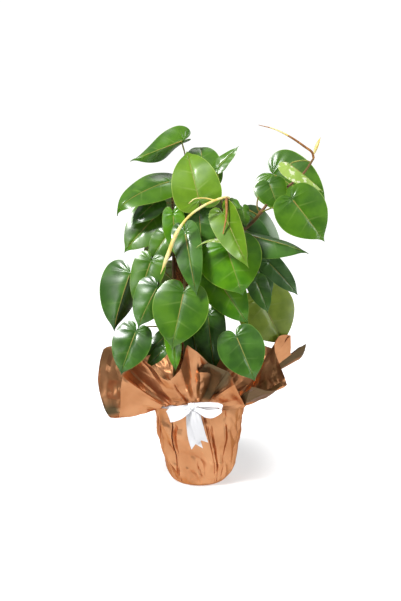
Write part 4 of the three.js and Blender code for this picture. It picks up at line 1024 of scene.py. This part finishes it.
def add_strip(shape, stations, samples, notch=0.0):
    """A ribbon laid through its stations, creased near the knot and notched at its far end."""
    centre = curve_through([np.array(s[0], float) + KNOT for s in stations], samples)
    half = curve_through([np.array(s[1], float) for s in stations], samples)
    across = np.linspace(-1, 1, STRIP_COLUMNS)
    order = np.linspace(0, 1, len(centre))
    lines = []
    for x in across:
        share = np.linspace(0, 1 - notch * (1 - abs(x)), len(centre))
        lines.append(np.stack([np.interp(share, order, (centre + half * x)[:, k]) for k in range(3)], 1))
    grid = np.stack(lines, 1)
    normal = unit(np.cross(np.gradient(grid, axis=0), np.gradient(grid, axis=1)))
    from_knot = np.linalg.norm(grid - KNOT, axis=-1)
    creases = CREASE * np.cos(3 * math.pi * across) * np.exp(-((from_knot / CREASE_REACH) ** 2))
    grid = grid + normal * (creases + CROWN * (1 - across**2))[..., None]
    back = grid - normal * RIBBON["thickness"]
    shape.add_grid(grid)
    shape.add_grid(back, flip=True)
    last_row, last = len(grid) - 1, len(across) - 1
    rim = [(i, 0) for i in range(last_row)] + [(last_row, j) for j in range(last)]
    rim += [(i, last) for i in range(last_row, 0, -1)] + [(0, j) for j in range(last, 0, -1)]
    rim = np.array(rim)
    edge = np.stack([grid[rim[:, 0], rim[:, 1]], back[rim[:, 0], rim[:, 1]]], 1)
    shape.add_grid(edge, closed=(True, False))


def add_knot(shape):
    """The knot: a short bar across, thicker in the middle and wound with soft folds."""
    across = np.linspace(-KNOT_HALF, KNOT_HALF, KNOT_RINGS)
    rings = np.stack([across, np.zeros(KNOT_RINGS), np.linspace(1, -1, KNOT_RINGS)], 1) + KNOT
    lean = np.linspace(-1, 1, KNOT_RINGS)[:, None]
    ripple = 1 + 0.08 * np.sin(3.2 * math.pi * lean + 0.8 * np.sin(circle(KNOT_SIDES))) - 0.3 * lean**2
    shape.add_tube(rings, np.full(KNOT_RINGS, KNOT_RADIUS), KNOT_SIDES, ripple=ripple)


def add_band(shape):
    """The ribbon round the neck, gathered into small folds so that it is narrower than its full width."""
    a = circle(BAND_COLUMNS)
    high = PAPER["neck_height"] - RIBBON["below_neck"]
    lines = []
    for k in range(BAND_FOLDS):
        radius = PAPER["neck_radius"] + 0.9 + (1.3 if k % 2 else 0) + 0.2 * np.sin(7 * a + k)
        z = high - RIBBON["band"] * k / (BAND_FOLDS - 1) + PAPER["tie_tilt"] * np.cos(a)
        lines.append(np.stack([radius * np.sin(a), -radius * np.cos(a), z], 1))
    band = np.stack(lines[::-1], 1)
    inner = band - unit(band * np.array([1, 1, 0])) * RIBBON["thickness"]
    shape.add_grid(band, closed=(True, False))
    shape.add_grid(inner, closed=(True, False), flip=True)
    for j in (0, -1):
        shape.add_grid(np.stack([band[:, j], inner[:, j]], 1), closed=(True, False), flip=j == 0)


def make_ribbon():
    """The bow: two loops, two tails, the knot and the band, in one length of ribbon."""
    shape = Shape()
    for loop in (LEFT_LOOP, RIGHT_LOOP):
        add_strip(shape, loop, 8)
    for tail in (LEFT_TAIL, RIGHT_TAIL):
        add_strip(shape, [(p, TAIL_HALF) for p in tail], 10, NOTCH)
    add_knot(shape)
    add_band(shape)
    piece = shape.make("satin_ribbon_bow", [SATIN], sharp=60)
    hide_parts("ribbon")
    return piece


# Growing medium and pole
PEAT_RINGS, PEAT_SPOKES = 40, 120
# Lumps of peat: how wide and how high, how far the surface lies above the soil's top and its underside below
LUMP = {"width": 9, "height": 4, "above": 3, "below": 6}
COIR_RINGS, COIR_SIDES = 150, 48
# Loose fibres: how many, how thick, how far below the top of the sleeve and above its foot they start
FIBRES = {"count": 420, "radius": 0.22, "points": 5, "sides": 3, "below_top": 8, "above_foot": 34}


def make_soil():
    """The loose top of the potting mix, lumpy, and level where it meets the pot."""
    low, high = (np.array(c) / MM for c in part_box("soil"))
    radius = (high[0] - low[0]) / 2 - 0.5
    r = np.linspace(0, radius, PEAT_RINGS)[None, :]
    a = np.linspace(0, 2 * math.pi, PEAT_SPOKES, endpoint=False)[:, None]
    flat = np.stack(np.broadcast_arrays(r * np.cos(a), r * np.sin(a), SOIL_TOP + 0.0 * r), -1)
    lumps = [noise.fractal(Vector(p / LUMP["width"]), 0.6, 2.0, 4) for p in flat.reshape(-1, 3)]
    lumps = np.array(lumps).reshape(flat.shape[:2])
    flat[..., 2] += LUMP["above"] + LUMP["height"] * lumps * smooth(0, 10, radius - r)
    under = flat.copy()
    under[..., 2] = SOIL_TOP - LUMP["below"]
    shape = Shape()
    shape.add_grid(flat, closed=(True, False), flip=True)
    shape.add_grid(under, closed=(True, False))
    shape.add_grid(np.stack([flat[:, -1], under[:, -1]], 1), closed=(True, False), flip=True)
    piece = shape.make("peat_surface", [PEAT])


def make_coir():
    """Pressed coir round the stake: a lumpy sleeve with loose fibres standing off it."""
    shape = Shape()
    heights = np.linspace(POLE["bottom"], POLE["top"], COIR_RINGS)
    centre = [np.full(COIR_RINGS, float(POLE[k])) for k in ("x", "y")]
    ripple = np.empty((COIR_RINGS, COIR_SIDES))
    for i, z in enumerate(heights):
        for k, turn in enumerate(circle(COIR_SIDES)):
            place = Vector((3.2 * math.cos(turn), 3.2 * math.sin(turn), z / 5))
            ripple[i, k] = 0.98 + 0.05 * noise.fractal(place, 0.8, 2.0, 4)
    sleeve = np.full(COIR_RINGS, float(POLE["coir"]))
    shape.add_tube(np.stack([*centre, heights], 1), sleeve, COIR_SIDES, 0, ripple)
    draw = np.random.default_rng(7)
    lowest, highest = POLE["bottom"] + FIBRES["above_foot"], POLE["top"] - FIBRES["below_top"]
    steps = np.linspace(0, 1, FIBRES["points"])
    for _ in range(FIBRES["count"]):
        turn, z = draw.uniform(0, 2 * math.pi), draw.uniform(lowest, highest)
        lean, rise = draw.normal(0, 0.5), draw.normal(0, 14)
        a = turn + lean * steps
        radius = POLE["coir"] + 0.2 + draw.uniform(0.6, 3.4) * np.sin(np.pi * steps)
        x, y = POLE["x"] + radius * np.cos(a), POLE["y"] + radius * np.sin(a)
        fibre = np.stack([x, y, z + rise * steps], 1)
        shape.add_tube(fibre, np.full(FIBRES["points"], FIBRES["radius"]), FIBRES["sides"], 0)
    piece = shape.make("coir_pole_fibres", [COIR])
    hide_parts("coir_sleeve")


# The camera stands where the photograph was taken: 3 m off, 12 degrees above the level of its aim
CAMERA = {"distance": 3000, "elevation": 12, "aim": (2.3, 0, 353.7), "mm_per_pixel": 1.9}
PHOTO_HEIGHT = 601
SENSOR = 36
# Softboxes: where each stands, what it is aimed at, its width and height in metres, and its power in watts
SOFTBOXES = {
    "key": ((-1.2, -1.4, 2.25), (0, 0, 0.35), (0.5, 0.5), 88),
    "front_strip": ((-1.45, -1.7, 0.75), (0, 0, 0.3), (0.35, 1.5), 7.5),
    "right_strip": ((1.5, -1.3, 0.6), (0, 0, 0.25), (0.3, 1.2), 7),
    "back_top": ((0.6, 0.9, 2.1), (0, 0, 0.4), (1.2, 0.8), 12),
    "right_box": ((1.8, -0.55, 1.5), (0, 0, 0.3), (0.9, 0.9), 17),
}
# The white floor reaches this many metres each way and lies just below the pot
FLOOR_REACH, FLOOR_DROP = 60, 0.0005
# Where the painted shadow on the floor, a dimmer glow, is deepest, in metres, once the floor's length is
# halved:
# the painted shadow is longer from front to back
SHADE, SHADE_STRETCH = (0.05, 0.05, 0), (1, 0.5, 1)
WHITE, WORLD_GREY = (1, 1, 1, 1), (0.1, 0.1, 0.103, 1)


def turn_towards(thing, direction):
    """Points an object's back along a direction, so that it looks the other way."""
    thing.rotation_mode = "QUATERNION"
    thing.rotation_quaternion = direction.to_track_quat("Z", "Y")


def make_camera():
    lift = math.radians(CAMERA["elevation"])
    back = Vector((0, -math.cos(lift), math.sin(lift)))
    data = bpy.data.cameras.new("camera")
    data.sensor_width = SENSOR
    data.lens = SENSOR * CAMERA["distance"] / (CAMERA["mm_per_pixel"] * PHOTO_HEIGHT)
    camera = bpy.data.objects.new("camera", data)
    camera.location = (Vector(CAMERA["aim"]) + back * CAMERA["distance"]) * MM
    turn_towards(camera, back)
    bpy.context.scene.collection.objects.link(camera)
    bpy.context.scene.camera = camera


def make_softbox(name, place, aim, size, power):
    data = bpy.data.lights.new(name, "AREA")
    data.shape = "RECTANGLE"
    data.size, data.size_y = size
    data.energy = power
    lamp = bpy.data.objects.new(name, data)
    lamp.location = place
    turn_towards(lamp, Vector(place) - Vector(aim))
    bpy.context.scene.collection.objects.link(lamp)


def make_floor():
    """A white sweep that glows for the camera, dimmed near the pot into a painted soft shadow, and fades into
    the white background; in reflections it glows brightest near the pot, as painted light.
    """
    far = FLOOR_REACH
    mesh = bpy.data.meshes.new("floor")
    mesh.from_pydata([(-far, -far, 0), (far, -far, 0), (far, far, 0), (-far, far, 0)], [], [(0, 1, 2, 3)])
    floor = bpy.data.objects.new("floor", mesh)
    floor.location.z = -FLOOR_DROP
    material, tree = new_material("studio_floor_white")
    place = add(tree, PLACE).outputs["Object"]
    away = add(tree, VECTOR, {"operation": "LENGTH"}, {0: place}).outputs["Value"]
    longer = add(tree, VECTOR, {"operation": "MULTIPLY"}, {0: place, 1: SHADE_STRETCH})
    off_shade = add(tree, VECTOR, {"operation": "DISTANCE"}, {0: longer, 1: SHADE}).outputs["Value"]
    # The camera sees the floor glow white, dimmed near the pot into the painted shadow
    glow = {"Value": off_shade, "From Min": 0.04, "From Max": 0.17, "To Min": 0.46, "To Max": 1.0}
    # Glossy rays see the floor glow, brightest near the pot: painted light for the reflections in the foil
    mirrored = {"Value": away, "From Min": 0.2, "From Max": 1.1, "To Min": 0.62, "To Max": 0.12}
    ray = add(tree, RAY).outputs
    strength = 0
    for ramp, seen_by in ((glow, "Is Camera Ray"), (mirrored, "Is Glossy Ray")):
        ramp = add(tree, RANGE, EASED, ramp)
        part = add(tree, MATH, {"operation": "MULTIPLY"}, {0: ramp, 1: ray[seen_by]})
        strength = add(tree, MATH, {"operation": "ADD"}, {0: strength, 1: part})
    lit = add(tree, "ShaderNodeEmission", None, {"Color": WHITE, "Strength": strength})
    matt = add(tree, "ShaderNodeBsdfDiffuse", None, {"Color": (0.5, 0.5, 0.5, 1)})
    add(tree, OUTPUT, None, {"Surface": add(tree, "ShaderNodeAddShader", None, {0: matt, 1: lit})})
    mesh.materials.append(material)
    bpy.context.scene.collection.objects.link(floor)


def make_world():
    """White behind the object, a dim even fill on it, and a mirrored sky that is brighter higher up."""
    world = bpy.data.worlds.new("studio")
    world.use_nodes = True
    tree = world.node_tree
    tree.nodes.clear()
    ray = add(tree, RAY).outputs
    towards = add(tree, SPLIT, None, {"Vector": add(tree, PLACE).outputs["Generated"]})
    ramp = {"Value": towards.outputs["Z"], "From Min": 0.0, "From Max": 0.8, "To Min": 0.07, "To Max": 0.6}
    sky = add(tree, RANGE, EASED, ramp)
    lit = add(tree, MIX, COLOURS, {BY: ray["Is Glossy Ray"], START: WORLD_GREY, END: sky})
    seen = add(tree, MIX, COLOURS, {BY: ray["Is Camera Ray"], START: lit, END: WHITE})
    surface = add(tree, "ShaderNodeBackground", None, {"Color": seen, "Strength": 1.0})
    add(tree, "ShaderNodeOutputWorld", None, {"Surface": surface})
    bpy.context.scene.world = world
    bpy.context.scene.view_settings.view_transform = "Standard"


make_camera()
make_floor()
for name, softbox in SOFTBOXES.items():
    make_softbox(name, *softbox)
make_world()
for number, leaf in enumerate(LEAVES, 1):
    make_leaf(number, leaf)
for name in VINES:
    make_vine(name, [leaf.height for leaf in LEAVES if leaf.vine == name])
make_front_shoot()
make_side_shoot()
paper = make_paper()
ribbon = make_ribbon()
make_soil()
make_coir()
for node, finish in (("nursery_pot", PLASTIC), ("soil", PEAT), ("pole_stake", BAMBOO)):
    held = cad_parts[node]
    held.data.materials.clear()
    held.data.materials.append(finish)
